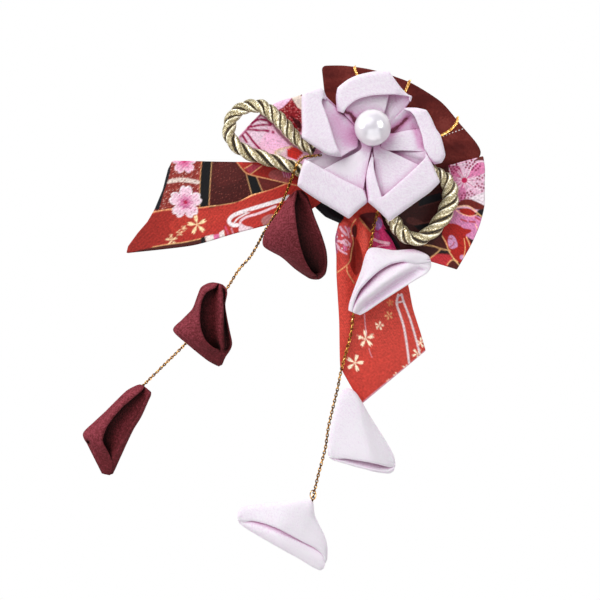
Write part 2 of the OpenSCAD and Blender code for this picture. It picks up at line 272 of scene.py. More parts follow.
# glints of about 1.1 by 0.35 mm
glints = noise(tree, stretched(tree, weave, (0.9, 2.9, 1), 0.3), 1, 3, 0.75)
level = scaled(tree, level, 1, scaled(tree, threads, 0.26, scaled(tree, glints, 1.7, -0.85)))
colour = ramp(tree, level, (0.1, "#140801"), (0.28, "#4E340F"), (0.48, "#867545"), (0.69, "#BEB28C"),
              (0.88, "#FFFBE8"))
feed(shader, Base_Color=colour, Roughness=mapped(tree, glints, 0.3, 0.7, 0.5, 0.26))
relief(shader, scaled(tree, threads, 1, glints), 0.7, 0.0003)


def gold_cord(name, route, lay, rings, spread):
    """Cord of three strands along the part's route, with one full turn of a strand in each lay, listed
    from start to end. spread says how far the lay opens."""
    share = np.linspace(0, 1, rings)
    middle = along(route, share)
    forward = unit(np.gradient(middle, axis=0))
    across = unit(np.cross([0, 0, 1], forward))
    up = np.cross(forward, across)
    each = np.interp(share, np.linspace(0, 1, len(lay)), lay)
    turns = np.concatenate([[0], np.cumsum(np.diff(walk(middle)) / each[1:])])
    wide = CORD_DIAMETER * np.interp(share, np.linspace(0, 1, len(spread)), spread)[:, None]
    points, faces, uv = [], [], []
    for strand in range(STRANDS):
        angle = 2 * math.pi * (turns + strand / STRANDS)
        out = across * np.cos(angle)[:, None] + up * np.sin(angle)[:, None]
        p, f, w = tube(middle + out * wide * STRAND_OUT, wide * STRAND_RADIUS, STRAND_SIDES, out)
        faces += [[k + strand * len(p) for k in face] for face in f]
        points.append(p)
        uv.append(w + [strand * PATTERN_STEP, 0])
    # painted light and shade round each strand: a mid tone on its back, painted highlights on both flanks,
    # the first one brighter, and painted shade in the grooves
    turn = round_a_circle(STRAND_SIDES)
    from_back = (turn + math.pi) % (2 * math.pi) - math.pi
    tone = np.interp(np.abs(from_back), [0, 0.5, 0.82, 1.08, 1.38, 1.9], [0.43, 0.42, 0.58, 0.4, 0.03, -0.06])
    tone = np.tile(tone + 0.42 * np.exp(-((from_back - 0.85) / 0.22) ** 2), rings * STRANDS)
    piece = mesh_piece(name + "_strands", gold_thread, np.concatenate(points), faces, np.concatenate(uv))
    paint(piece, "painted_strand_light", np.stack([tone, tone, tone, np.ones_like(tone)], axis=1))
    put_on(piece, name)


gold_cord("cord_loop_left", [
    [-19.5, -3, 15.2], [-23, -1, 15.2], [-26.5, 2, 15.2], [-29, 5, 15.2], [-32.5, 8.5, 15.2],
    [-37, 11.5, 15], [-42, 11.5, 14], [-46, 9, 13.4], [-47.6, 5, 13.6], [-47.2, 1, 14],
    [-44.5, -2, 14.2], [-41, -4, 14], [-36, -5.5, 13.8], [-31, -7, 13.5], [-26.5, -8.5, 13.4],
    [-23, -10, 13.2]
], lay=[10.5, 10.5, 11, 13, 16, 18, 18], rings=260,
          spread=[0.9, 1.0, 1.1, 1.0, 1.0, 1.0, 1.05, 1.05, 1.0])
gold_cord("cord_loop_right", [
    [19.6, -9, 13.4], [22, -10.4, 13.6], [24.6, -12.8, 14.1], [26, -16.4, 14.2], [25.8, -20, 13.9],
    [24.4, -23.6, 13.5], [22.4, -27, 13.3], [19.9, -29.8, 13.2], [16.9, -32, 13.1], [13, -32.4, 13.1],
    [9.5, -30, 13.1], [7.6, -27, 13.1], [6.4, -24.8, 13]
], lay=[8.5, 9, 13, 17.5, 18, 16, 10.5, 9], rings=220,
          spread=[0.6, 0.8, 1.12, 1.25, 1.25, 1.2, 1.1, 1.05, 1.1, 1.1, 1.0])

# Clip
# A plain sprung hair clip of pressed steel, its leaves brushed along their length. It lies hidden under
# the flower, which is sewn on over it.
steel, tree, shader = new_finish("pressed steel brushed", Metallic=1.0)
# brush lines of about 0.1 mm, drawn at 0.3 mm, and 20 times as long
grain = noise(tree, stretched(tree, object_place(tree), (160, 3200, 3200)), 1, 4)
feed(shader, Base_Color=ramp(tree, grain, (0.3, "#A9A9AC"), (0.7, "#CFCFD2")),
     Roughness=mapped(tree, grain, 0, 1, 0.22, 0.42))
relief(shader, grain, 0.15, 0.00005)
clip_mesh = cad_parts["clip"].data
clip_mesh.materials.clear()
clip_mesh.materials.append(steel)

# Plain side of the fan
# Brown crepe stiffened with starch and cut to a fan, flat but for soft waves. Twisted gold threads run
# over its rim and a few white stitches show beside the last one.
BAND_WALL = 0.7
EDGE_OUT = 0.45  # how far a cloth's edge is rounded out, as a share of its thickness


def wander(x, y, size, seed):
    """Smooth random waves, about -1 to 1, with features of that many millimetres."""
    draw = np.random.default_rng(seed)
    total = 0
    for _ in range(9):
        heading = draw.uniform(0, 2 * math.pi)
        wave = size * draw.uniform(0.7, 1.8)
        total = total + np.sin((x * math.cos(heading) + y * math.sin(heading)) * 2 * math.pi / wave
                               + draw.uniform(0, 2 * math.pi))
    return total / 4


def from_line(x, y, points, closed=False):
    """Distance of each place from a line through points."""
    points = np.array(points, float)
    ends = np.roll(points, -1, axis=0) if closed else points[1:]
    best = np.full(x.shape, 1e9)
    for a, b in zip(points, ends):
        step = b - a
        t = np.clip(((x - a[0]) * step[0] + (y - a[1]) * step[1]) / max(step @ step, 1e-9), 0, 1)
        best = np.minimum(best, np.hypot(x - a[0] - t * step[0], y - a[1] - t * step[1]))
    return best


def cloth(name, finish, grid, wall, colours=None, store="print"):
    """Closed sheet of cloth with its middle surface through a grid of points and a rounded edge. Its
    colours, one for each point of the grid, go into the attribute named in store."""
    rows, cols = grid.shape[:2]
    count = rows * cols
    normal = unit(np.cross(np.gradient(grid, axis=0), np.gradient(grid, axis=1))).reshape(-1, 3)
    index = np.arange(count).reshape(rows, cols)
    rim = np.concatenate([index[:, 0], index[-1, 1:], index[-2::-1, -1], index[0, -2:0:-1]])
    flat = grid.reshape(-1, 3)
    edge = flat[rim]
    forward = unit(np.roll(edge, -1, axis=0) - np.roll(edge, 1, axis=0))
    outward = unit(np.cross(forward, normal[rim]))
    points = np.concatenate([flat + normal * wall / 2, flat - normal * wall / 2,
                             edge + outward * wall * EDGE_OUT])
    top = np.stack([corner.ravel() for corner in (index[:-1, :-1], index[1:, :-1], index[1:, 1:],
                                                  index[:-1, 1:])], axis=1)
    bottom = top[:, ::-1] + count
    ahead = np.roll(rim, -1)
    middle = 2 * count + np.arange(len(rim))
    middle_ahead = np.roll(middle, -1)
    over = np.stack([ahead, rim, middle, middle_ahead], axis=1)
    under = np.stack([middle_ahead, middle, rim + count, ahead + count], axis=1)
    u, v = np.zeros((rows, cols)), np.zeros((rows, cols))
    u[:, 1:] = np.cumsum(np.linalg.norm(np.diff(grid, axis=1), axis=2), axis=1)
    v[1:] = np.cumsum(np.linalg.norm(np.diff(grid, axis=0), axis=2), axis=0)
    uv = np.stack([u, v], axis=2).reshape(-1, 2)
    piece = mesh_piece(name + "_cloth", finish, points, np.concatenate([top, bottom, over, under]).tolist(),
                       np.concatenate([uv, uv, uv[rim]]))
    if colours is not None:
        colours = colours.reshape(-1, 4)
        paint(piece, store, np.concatenate([colours, colours, colours[rim]]))
    put_on(piece, name)


def band_grid(table, rows, cols, waves):
    """Flat band between two edges with soft waves along it, as in the part's source. An eighth value in
    a row says how round both edges turn there."""
    table = np.array(table, float)
    r = along(table[:, :7], np.linspace(0, 1, rows), table[:, 7] if table.shape[1] > 7 else None)
    f = np.linspace(0, 1, cols)[None, :, None]
    grid = r[:, None, 0:3] * (1 - f) + r[:, None, 3:6] * f
    grid[:, :, 2] += r[:, None, 6] * np.sin(2 * math.pi * waves * f[:, :, 0])
    return grid


def crepe_grain(tree, shader, strength, ribs=(0.6, 2.0)):
    """Crinkled crepe grain of about 0.35 mm, drawn at 0.6 mm, with fine ribs across the thread. ribs
    gives the ribs' width and length in millimetres. Returns the grain and the ribs."""
    crinkle = noise(tree, object_place(tree), 1500, 3, 0.6)
    weave = add(tree, "ShaderNodeUVMap", uv_map="weave").outputs["UV"]
    rib = noise(tree, stretched(tree, weave, (1 / ribs[0], 1 / ribs[1], 1)), 1, 2, 0.6)
    relief(shader, scaled(tree, crinkle, 1, rib), strength, 0.0002)
    return crinkle, rib


brown_crepe, tree, shader = new_finish("brown crepe", Roughness=0.8, Specular_IOR_Level=0.04)
crinkle = crepe_grain(tree, shader, 0.5)[0]
place = object_place(tree)
# creases left by the iron, about 1.5 mm apart and 15 mm long
streaks = noise(tree, stretched(tree, place, (60, 300, 100), 0.9), 1, 2)
tone = scaled(tree, crinkle, 0.35, scaled(tree, streaks, 0.35))
tone = scaled(tree, noise(tree, place, 90, 1), 0.6, tone)
feed(shader, Base_Color=ramp(tree, tone, (0.52, "#521A18"), (0.66, "#652420"), (0.8, "#7C352F")))

grid = band_grid([
    [-14, 2.5, 10, -16.5, 25.5, 10, 0],
    [-8, 0.5, 10, -9, 25.5, 10.1, 0.1],
    [-3, 0, 10, 0.5, 24, 10.2, 0.2],
    [2, 0, 10, 12.5, 20, 10.2, 0.2],
    [6, -0.5, 10, 23, 13.5, 10.1, 0.2],
    [8, -2, 10, 29.5, 6, 10, 0.1],
    [9, -3, 10, 35, -0.5, 10, 0],
    [9.5, -5, 9.9, 36, -4.4, 9.6, 0],
    [10, -9, 9.2, 29, -10.5, 9, 0]
], 140, 60, 2)
grid[:, :, 2] += 0.12 * wander(grid[:, :, 0], grid[:, :, 1], 9, 3)
# its upper left corner is cut round
corner, round_by = grid[0, -1].copy(), 1.2
down_side = unit(grid[0, -4] - corner)
along_rim = unit(grid[3, -1] - corner)
a = round_by - (grid - corner) @ along_rim
b = round_by - (grid - corner) @ down_side
pull = np.where((a > 0) & (b > 0), 1 - np.maximum(a, b) / np.maximum(np.hypot(a, b), 1e-6), 0)[:, :, None]
grid += pull * (a[:, :, None] * along_rim + b[:, :, None] * down_side)
# two soft creases near the printed side
for points in ([(23.4, 1.4), (27.6, -1.6), (33, -4.8), (36.2, -6.3)], [(26.1, 2.3), (30, -0.4), (33.6, -4)]):
    grid[:, :, 2] += 0.22 * np.exp(-(from_line(grid[:, :, 0], grid[:, :, 1], points) / 0.55) ** 2)
cloth("fan_plain", brown_crepe, grid, BAND_WALL)


def path_tree(name, labels, build):
    """Geometry Nodes that set a piece along a curve, one each pitch. build adds the piece's own nodes
    and returns its mesh, its turn and its size."""
    tree = bpy.data.node_groups.new(name, "GeometryNodeTree")
    face = tree.interface
    face.new_socket("Geometry", in_out="INPUT", socket_type="NodeSocketGeometry")
    for label in ("Pitch",) + labels:
        face.new_socket(label, in_out="INPUT", socket_type="NodeSocketFloat")
    face.new_socket("Finish", in_out="INPUT", socket_type="NodeSocketMaterial")
    face.new_socket("Geometry", in_out="OUTPUT", socket_type="NodeSocketGeometry")
    given = add(tree, "NodeGroupInput").outputs
    mesh, turn, size = build(tree, given)
    stops = add(tree, "GeometryNodeCurveToPoints", {"Curve": given["Geometry"], "Length": given["Pitch"]},
                mode="LENGTH")
    turned = add(tree, "FunctionNodeEulerToRotation", {0: turn})
    both = add(tree, "FunctionNodeRotateRotation", {0: stops.outputs["Rotation"], 1: turned.outputs[0]},
               rotation_space="LOCAL")
    placed = add(tree, "GeometryNodeInstanceOnPoints", {"Points": stops.outputs["Points"], "Instance": mesh,
                                                        "Rotation": both.outputs[0], "Scale": size})
    real = add(tree, "GeometryNodeRealizeInstances", {"Geometry": placed.outputs["Instances"]})
    smooth = add(tree, "GeometryNodeSetShadeSmooth", {"Geometry": real.outputs["Geometry"]})
    coated = add(tree, "GeometryNodeSetMaterial", {"Geometry": smooth.outputs["Geometry"],
                                                   "Material": given["Finish"]})
    add(tree, "NodeGroupOutput", {"Geometry": coated.outputs["Geometry"]})
    return tree


def thread_grain(tree, given):
    """One grain of a twisted thread, laid aslant."""
    grain = add(tree, "GeometryNodeMeshUVSphere", {"Segments": 10, "Rings": 6, "Radius": 0.5})
    tilt = add(tree, "ShaderNodeCombineXYZ", {"Y": given["Slant"]})
    size = add(tree, "ShaderNodeCombineXYZ", {"X": given["Wide"], "Y": given["Wide"], "Z": given["Long"]})
    return grain.outputs["Mesh"], tilt.outputs[0], size.outputs[0]


def grown(name, tree, lines, values):
    """Runs a tree on curves through lines of points in millimetres and returns the result as a mesh."""
    curve = bpy.data.curves.new(name + " path", "CURVE")
    curve.dimensions = "3D"
    for line in lines:
        spline = curve.splines.new("POLY")
        spline.points.add(len(line) - 1)
        spline.points.foreach_set("co", np.concatenate([np.array(line) * MM, np.ones((len(line), 1))],
                                                       axis=1).ravel())
    path = new_object(name + " path", curve)
    maker = path.modifiers.new("maker", "NODES")
    maker.node_group = tree
    for item in tree.interface.items_tree:
        if item.item_type == "SOCKET" and item.in_out == "INPUT" and item.name in values:
            maker[item.identifier] = values[item.name]
    path.update_tag()
    bpy.context.view_layer.update()
    seen = path.evaluated_get(bpy.context.evaluated_depsgraph_get())
    mesh = bpy.data.meshes.new_from_object(seen)
    mesh.name = name
    piece = new_object(name, mesh)
    path.modifiers.remove(maker)
    bpy.data.objects.remove(path)
    return piece


def on_fan(points, up):
    """Places on the fan's upper face under points, raised by up."""
    line = along([list(p) + [0] for p in points], np.linspace(0, 1, 60))
    for p in line:
        away = np.hypot(grid[:, :, 0] - p[0], grid[:, :, 1] - p[1])
        spot = np.unravel_index(np.argmin(away), away.shape)
        p[2] = grid[spot][2] + up
    return line


def thread_finish(name, *stops, **sockets):
    """Finish of a fine thread, with its fibres' glints."""
    made, tree, shader = new_finish(name, **sockets)
    feed(shader, Base_Color=ramp(tree, noise(tree, object_place(tree), 2200, 2), *stops))
    return made


amber_thread = thread_finish("gold thread amber", (0.3, "#6E430F"), (0.5, "#C48A34"), (0.66, "#F6D890"),
                             Metallic=0.5, Roughness=0.4)
cotton = thread_finish("white cotton thread", (0.3, "#CDBFBE"), (0.7, "#FFFFFF"), Roughness=0.8)
threads = path_tree("thread along a path", ("Long", "Wide", "Slant"), thread_grain)
for name, slot, lines, up, values in (
    ("fan_gold_threads", "gold_cord", (
        [(-5.8, 25.2), (-5.4, 23.8), (-4.7, 22)],
        [(12.6, 20.6), (12.1, 19), (11.1, 16.8)],
        [(28.7, 8.4), (28.4, 6.5), (26.2, 4.1), (22.8, 2.1)]
    ), 0.3, {"Pitch": 0.5 * MM, "Long": 1.35 * MM, "Wide": 0.54 * MM, "Slant": 0.8, "Finish": amber_thread}),
    ("fan_white_stitches", "pale_crepe", (
        [(30.4, 4.5), (27.6, 3.5), (24, 2.1)],
    ), 0.02, {"Pitch": 1.15 * MM, "Long": 0.6 * MM, "Wide": 0.32 * MM, "Slant": 0.0, "Finish": cotton})
):
    put_on(grown(name, threads, [on_fan(points, BAND_WALL / 2 + up) for points in lines], values))

# Printed side of the fan
# One pleat of crepe under the brown side, with blossoms, bars and gold lines screen printed. Its inner end
# is sewn in under the petals.
SOFT_EDGE = 0.28  # width of a printed edge's blur in millimetres


def rounded(corners, times=2, closed=True):
    """Corner cutting, which makes a hand drawn outline soft."""
    points = np.array(corners, float)
    for _ in range(times):
        ahead = np.roll(points, -1, axis=0)
        cut = np.stack([points * 0.75 + ahead * 0.25, points * 0.25 + ahead * 0.75], axis=1).reshape(-1, 2)
        points = cut if closed else np.concatenate([points[:1], cut[:-2], points[-1:]])
    return points


def soft_edge(depth):
    """How much of the ink lies at that depth in millimetres inside a printed edge, from 0 to 1."""
    return np.clip(0.5 + depth / SOFT_EDGE, 0, 1)


class Print:
    """Colours printed on a cloth, one for each point of its grid. Alpha says how much of it is gold."""

    def __init__(self, grid, ground):
        self.x, self.y = grid[:, :, 0], grid[:, :, 1]
        self.colour = np.ones(self.x.shape + (4,)) * linear(ground)
        self.colour[:, :, 3] = 0

    def lay(self, cover, code, gold=0.0):
        """Lays ink over what is there. cover says how much of it at each point, from 0 to 1."""
        ink = np.array(linear(code)[:3] + (gold,))
        cover = np.clip(cover, 0, 1)[:, :, None]
        self.colour = self.colour * (1 - cover) + ink * cover

    def inside(self, corners, soft=True):
        """How much of the ink each point takes inside an outline, whose corners are rounded if soft."""
        points = rounded(corners) if soft else np.array(corners, float)
        within = np.zeros(self.x.shape, bool)
        for a, b in zip(points, np.roll(points, -1, axis=0)):
            crosses = (a[1] > self.y) != (b[1] > self.y)
            slope = (b[0] - a[0]) / (b[1] - a[1]) if b[1] != a[1] else 0
            within ^= crosses & (self.x < a[0] + (self.y - a[1]) * slope)
        far = from_line(self.x, self.y, points, True)
        return soft_edge(np.where(within, far, -far))

    def area(self, corners, code, part=1.0):
        """Shape with rounded corners. part says how much of the ink it takes."""
        self.lay(self.inside(corners) * part, code)

    def panel(self, corners, code, part=1.0):
        """Shape with sharp corners."""
        self.lay(self.inside(corners, False) * part, code)

    def line(self, points, width, code, gold=0.0, part=0.85):
        """Line with its corners rounded."""
        far = from_line(self.x, self.y, rounded(points, 2, False) if len(points) > 2 else points)
        self.lay(soft_edge(width / 2 - far) * part, code, gold)

    def gilt(self, points, width):
        """Line in gold ink."""
        self.line(points, width, "#CDA06E", 0.3)

    def dot(self, centre, radius, code):
        self.lay(soft_edge(radius - np.hypot(self.x - centre[0], self.y - centre[1])), code)

    def specks(self, cover, size, share, code, seed):
        """Small marks strewn inside cover, each about size across."""
        fleck = wander(self.x, self.y, size, seed) * 0.5 + wander(self.x, self.y, size * 0.6, seed + 1) * 0.5
        self.lay(cover * np.clip((fleck - np.quantile(fleck, 1 - share)) * 4, 0, 1), code)

    def about(self, centre, turn):
        """Distance from a blossom's centre, angle round it and angle from its nearest petal's middle."""
        dx, dy = self.x - centre[0], self.y - centre[1]
        angle = np.arctan2(dy, dx) - math.radians(turn)
        half = math.radians(36)
        return np.hypot(dx, dy), angle, (angle + half) % (2 * half) - half

    def petals(self, centre, radius, turn, code, tip, thread, heart, edge="#F7E3EA", long=0.5):
        """Full cherry blossom with five notched petals, stamens as long as that share, and a heart."""
        far, angle, sector = self.about(centre, turn)
        lobe = np.abs(np.cos(2.5 * angle))
        outline = radius * (0.52 + 0.48 * lobe ** 0.55 - 0.13 * np.exp(-(sector / 0.11) ** 2))
        cover = soft_edge(outline - far)
        self.lay(cover, tip)
        self.lay(cover * np.clip((radius * 0.55 - far) / (radius * 0.5), 0, 0.9), code)
        self.lay(cover * np.clip(1 - (outline - far) / (radius * 0.16), 0, 1) * 0.95, edge)
        spoke = np.abs(((angle + math.pi) % (2 * math.pi / 24)) - math.pi / 24) * far
        reach = (far > radius * 0.15) & (far < radius * (long + 0.12 * np.sin(angle * 7)))
        self.lay(cover * reach * np.clip(1.3 - spoke / 0.17, 0, 0.85), thread)
        self.dot(centre, radius * 0.13, heart)

    def loose(self, centre, radius, turn, code="#EBCFA2", gold=0.1):
        """Open blossom of five separate notched petals."""
        far, _, sector = self.about(centre, turn)
        out, side = far * np.cos(sector), np.abs(far * np.sin(sector))
        share = np.clip((out / radius - 0.2) / 0.88, 0, 1)
        half = radius * 0.18 * np.sqrt(np.sin(math.pi * share ** 1.25))
        tip = radius * (0.8 + 0.2 * np.minimum(side / (radius * 0.11), 1))
        self.lay(soft_edge(np.minimum(half - side, tip - out)), code, gold)
        self.lay(soft_edge(np.minimum(radius * 0.32 - out, radius * 0.035 - side)), code, gold)


printed_crepe, tree, shader = new_finish("printed crepe", Specular_IOR_Level=0.06, Sheen_Weight=0.02,
                                         Sheen_Roughness=0.35)
crinkle = crepe_grain(tree, shader, 0.4)[0]
ink = add(tree, "ShaderNodeAttribute", attribute_name="print")
# twill of 0.3 mm, drawn at 0.9 mm
weave = add(tree, "ShaderNodeUVMap", uv_map="weave").outputs["UV"]
twill = add(tree, "ShaderNodeTexWave", {"Vector": stretched(tree, weave, turn=0.75), "Scale": 0.36,
                                        "Distortion": 3.0, "Detail": 2.0, "Detail Scale": 1.8},
            bands_direction="X").outputs["Fac"]
worn = mapped(tree, scaled(tree, twill, 0.12, crinkle), 0.34, 0.78, 0.69, 1.29)
tinted = add(tree, "ShaderNodeVectorMath", {0: ink.outputs["Color"], "Scale": worn}, operation="SCALE")
feed(shader, Base_Color=tinted.outputs["Vector"], Metallic=ink.outputs["Alpha"],
     Roughness=mapped(tree, ink.outputs["Alpha"], 0, 1, 0.62, 0.4))

grid = band_grid([
    [25.8, -8, 11.5, 37, -5, 11.5, 0],
    [22, -9.6, 10.3, 37.5, -8.9, 11.5, 0],
    [14, -11.5, 10.3, 37.5, -14.5, 10.8, 0.1],
    [4, -13.5, 10.4, 37.5, -21, 10.4, 0.2],
    [2.2, -19, 10, 36, -27.5, 9.8, 0.2],
    [3, -26, 9.9, 33, -34.5, 9.2, 0.1],
    [6.6, -35.5, 9.6, 28.6, -42.2, 8.6, 0]
], 180, 150, 1.5)
# its inner edge goes down under the tail
grid[:, :, 2] -= 1.5 * np.clip((9.5 + np.maximum(-30 - grid[:, :, 1], 0) * 0.4 - grid[:, :, 0]) / 4, 0, 1)
# painted shade: the ground is a darker brown than the plain side's, for the shade under the petals
ink = Print(grid, "#3A1413")
ink.area([(11.1, -26.2), (12.6, -24.8), (14.6, -25.2), (17.9, -26.8), (16.6, -27.2), (13.2, -27.8)],
         "#5C2B28")
ink.panel([(15.6, -19.9), (17.4, -18.2), (22.9, -16.8), (23.6, -18.5), (22.7, -19.5), (15.8, -21.6)],
          "#0D0B0F")
ink.panel([(14, -27.8), (19.9, -26.7), (19.5, -27.9), (16.8, -29.6), (15.4, -29.1)], "#0D0B0F")
ink.line([(15.8, -21.7), (18.6, -20.8), (22.8, -19.7)], 0.3, "#5A2C28")
ink.line([(14, -27.6), (17, -27.1), (19.9, -26.5)], 0.3, "#6A3A34")
ink.area([(4.9, -29.2), (6.3, -29.7), (9.9, -34.7), (9.6, -35.7), (8.4, -34.9)], "#0D0B0F")
ink.area([(19.5, -34.5), (22.8, -31.5), (24.2, -31.2), (25.7, -34.3), (26, -36), (22.4, -35.4)], "#4C1613")
pink_ground = [(26.2, -5), (29.8, -3), (39, -3), (39, -23), (35, -23.5), (30, -22), (26.5, -22.5), (24, -18),
               (24.4, -12), (25.8, -9)]
ink.panel(pink_ground, "#E9B9D2")
for petal, code in (
    ([(25.7, -7.8), (27.4, -7.4), (29.4, -7.6), (30.3, -11.7), (29.1, -12.1), (26.3, -10.7)], "#C8628F"),
    ([(26.3, -10.7), (29.1, -12.1), (30.3, -12.8), (29.1, -14.9), (27.2, -13.9)], "#D47FA9"),
    ([(30.7, -13.5), (32, -17.8), (30.6, -19.6), (29.1, -20), (28.5, -19.3), (28.8, -15.5), (30.3, -13.4)],
     "#DA7AAB"),
    ([(31.6, -12), (32.4, -10.7), (33.3, -8.4), (34.5, -7), (36.3, -6.3), (38, -6.7), (38, -10.4),
      (35, -11.7), (32.2, -12.5)], "#E481B2"),
    ([(29.4, -7.6), (32.4, -6.6), (34.3, -6.1), (33.3, -8.4), (31.9, -11.7), (30.8, -11.8), (29.8, -9.1)],
     "#EDC3DA"),
    ([(32.2, -12.6), (35, -11.7), (38, -10.4), (38, -16.5), (35, -16.5), (32.4, -13.9)], "#EFC5DB"),
    ([(31.3, -13.7), (32.4, -13.9), (35, -16.5), (35.8, -17.1), (32, -18.3), (31.5, -15.5)], "#EBBAD4")
):
    ink.area(petal, code, part=0.92)
# pale outlines and veins
for points, width in (
    ([(25.7, -7.8), (27.4, -7.4), (29.4, -7.6), (32.4, -6.6), (34.3, -6)], 0.3),
    ([(32.2, -11), (33.3, -8.5), (34.5, -7.1), (36.3, -6.4), (37.9, -6.8)], 0.35),
    ([(32.2, -12.5), (35, -11.7), (37.9, -10.4)], 0.25),
    ([(32.2, -13.2), (34.6, -14.9), (37.5, -16.8)], 0.25),
    ([(28.5, -19.3), (29.1, -20), (30.6, -19.6), (32, -18.1), (32.4, -18.4), (34.6, -19.7), (36.3, -21)],
     0.3),
    ([(25.7, -7.8), (26.1, -9.4), (26.3, -10.7), (27.2, -13.9)], 0.3)
):
    ink.line(points, width, "#FAE8F1")
# stamens round the blossom's heart, and dots of one pitch in rings on its petals
heart_x, heart_y = 31, -12.7
for k in range(30):
    angle = (k + 0.3 * math.sin(5 * k)) * math.pi / 15
    reach = 3.2 + 0.9 * math.sin(7 * k + 1)
    ink.line([(heart_x + r * math.cos(angle), heart_y + r * math.sin(angle)) for r in (1.1, reach)], 0.22,
             "#F7DDEA" if k % 3 else "#C2457F", part=0.75)
pitch = 1.15
for far, offset in ((4.3, 0.5), (5.1, 0.2), (6, 0.7), (6.9, 0.4)):
    for k in range(int(2 * math.pi * far / pitch)):
        angle = (k + offset) * pitch / far
        if abs(math.sin(2.5 * (angle - math.radians(64)))) < 0.9:
            ink.dot((heart_x + far * math.cos(angle), heart_y + far * math.sin(angle)), 0.32, "#961C4E")
ink.dot((heart_x, heart_y), 0.95, "#C41F55")
ink.panel([(34.1, -6.1), (34.6, -5.8), (37.5, -5.1), (37.7, -6.2), (35.6, -6), (34.2, -6.4)], "#6A2321")
# dark ground left of the blossom, painted shade beside the petals, and pale ground at its lower right
ink.panel([(21.4, -4.2), (25.5, -7.1), (25.6, -8.2), (26.1, -10.7), (27, -13.9), (28.3, -15.5),
           (21.4, -15.2)], "#4C1B19")
ink.panel([(32.4, -18.6), (35.8, -17.3), (38, -16.5), (38, -21.7), (36.3, -21), (34.6, -19.7)], "#F3E3EC")
ink.area([(28.6, -20.1), (32, -18.5), (38.5, -21.4), (38.5, -22.4), (34.7, -22.6), (32.4, -21.1), (30.3, -21),
          (26.9, -21.9)], "#6E1E18")
ink.area([(26.2, -22.4), (29.8, -22.4), (35.2, -24.5), (38.4, -25.8), (38, -29.3), (36.2, -33.5),
          (33.6, -32.4), (31.1, -31.1), (29.8, -27.9), (25.1, -27.4)], "#E58FBF")
ink.area([(34.9, -22.6), (38.6, -22.1), (38.6, -23.9), (36.1, -24.6)], "#120C10")
ink.area([(29.3, -22.3), (31.4, -21.9), (33.8, -22.5), (35, -23.9), (33.3, -24.7), (30.9, -24.2),
          (29.5, -23.3)], "#B02318")
ink.gilt([(28.2, -22.5), (29.8, -23.9), (33.3, -24.9), (35.2, -24.1)], 0.35)
ink.gilt([(26.7, -22.1), (30.3, -21.2), (32.5, -21.3), (34.3, -22.6), (36, -24.2), (38.2, -25.9)], 0.45)
for mark in ([(30, -25.8), (31.8, -26.4)], [(32.8, -26.5), (34.6, -26.6)], [(34.8, -25), (36.1, -25.8)]):
    ink.line(mark, 0.6, "#C2322A")
ink.area([(24.6, -27.2), (27.7, -27), (29.8, -27.9), (30.8, -28.8), (33.3, -29), (33.6, -29.9), (31.1, -31.1),
          (32.6, -32.2), (33.5, -34), (34.1, -37.7), (31, -40.7), (28.6, -39.8), (26.5, -37), (25.1, -34.6),
          (23.3, -30.8)], "#B5201A")
ink.area([(25.6, -31.7), (26.6, -30.8), (28, -31.6), (29, -34.2), (28.7, -35.1), (26.6, -35.8),
          (25.6, -34.3)], "#DFA0CC")
ink.line([(26.4, -34.9), (27.4, -34.3), (27.7, -33.3)], 0.35, "#B5201A")
ink.line([(25.8, -32.1), (27, -32.3)], 0.35, "#B5201A")
ink.area([(18, -40.1), (21, -37.2), (26.2, -37.4), (27.5, -38.6), (25.4, -42.3)], "#C8323A")
ink.area([(21.9, -36.9), (22.8, -36.1), (26.3, -36.1), (26.4, -36.5), (24.8, -37.1)], "#120C10")
ink.area([(25.4, -41.1), (27, -39.1), (29.7, -41.3), (29, -43.9), (27, -43.9)], "#521815")
ink.dot((30.4, -38.4), 0.8, "#DDA0CB")
ink.gilt([(31, -32.2), (31.6, -35.7), (30.8, -38.5)], 0.3)
ink.gilt([(34.8, -27.3), (35.9, -30.1), (34.4, -32.2)], 0.3)
for points in ([(23.7, -31.4), (25.1, -33.6), (25.8, -36.2), (27, -38), (28.4, -39.9), (30.2, -41.8)],
               [(17.5, -34.2), (21.4, -34.8), (23, -35.6), (26.4, -36.2)],
               [(31.8, -31.6), (32.9, -34), (33.6, -37.2)],
               [(18.8, -39.4), (21.9, -37), (23, -35.9)],
               [(25.4, -40.9), (27, -39), (28.9, -39.9)]):
    ink.gilt(points, 0.42)
ink.line([(26.5, -6.8), (29.8, -5.9), (34, -5.2), (36.6, -4.6)], 0.7, "#F0DFE8")
ink.area([(34.2, -6.4), (35.6, -5.0), (38.3, -4.2), (38.2, -6.0), (36, -5.9)], "#6A2A26")
cloth("fan_print", printed_crepe, grid, BAND_WALL, ink.colour)

# Bow loop at the upper left
# A strip of crepe, printed with large pink petals and folded double. Its fold lies out to the left, and
# both its ends are sewn in under the petals.


def through(points, per):
    """Smooth curve through each row of section points, per samples between two of them."""
    chord = np.sqrt(np.maximum(np.linalg.norm(np.diff(points, axis=1), axis=2), 1e-6))
    knot = np.concatenate([np.zeros((len(points), 1)), np.cumsum(chord, axis=1)], axis=1)[:, :, None]
    gap, step = np.diff(knot, axis=1), np.diff(points, axis=1)
    slope = step / gap
    tangent = np.empty_like(points)
    tangent[:, 0], tangent[:, -1] = slope[:, 0], slope[:, -1]
    tangent[:, 1:-1] = (slope[:, :-1] * gap[:, 1:] + slope[:, 1:] * gap[:, :-1]) / (gap[:, 1:] + gap[:, :-1])
    f = (np.arange(per) / per)[None, None, :, None]
    a, b = points[:, :-1, None], points[:, 1:, None]
    leave, arrive = tangent[:, :-1, None] * gap[:, :, None], tangent[:, 1:, None] * gap[:, :, None]
    curve = eased(a, b, leave, arrive, f)
    return np.concatenate([curve.reshape(len(points), -1, 3), points[:, -1:]], axis=1)


def blend(a, b, f):
    return a * (1 - f) + b * f


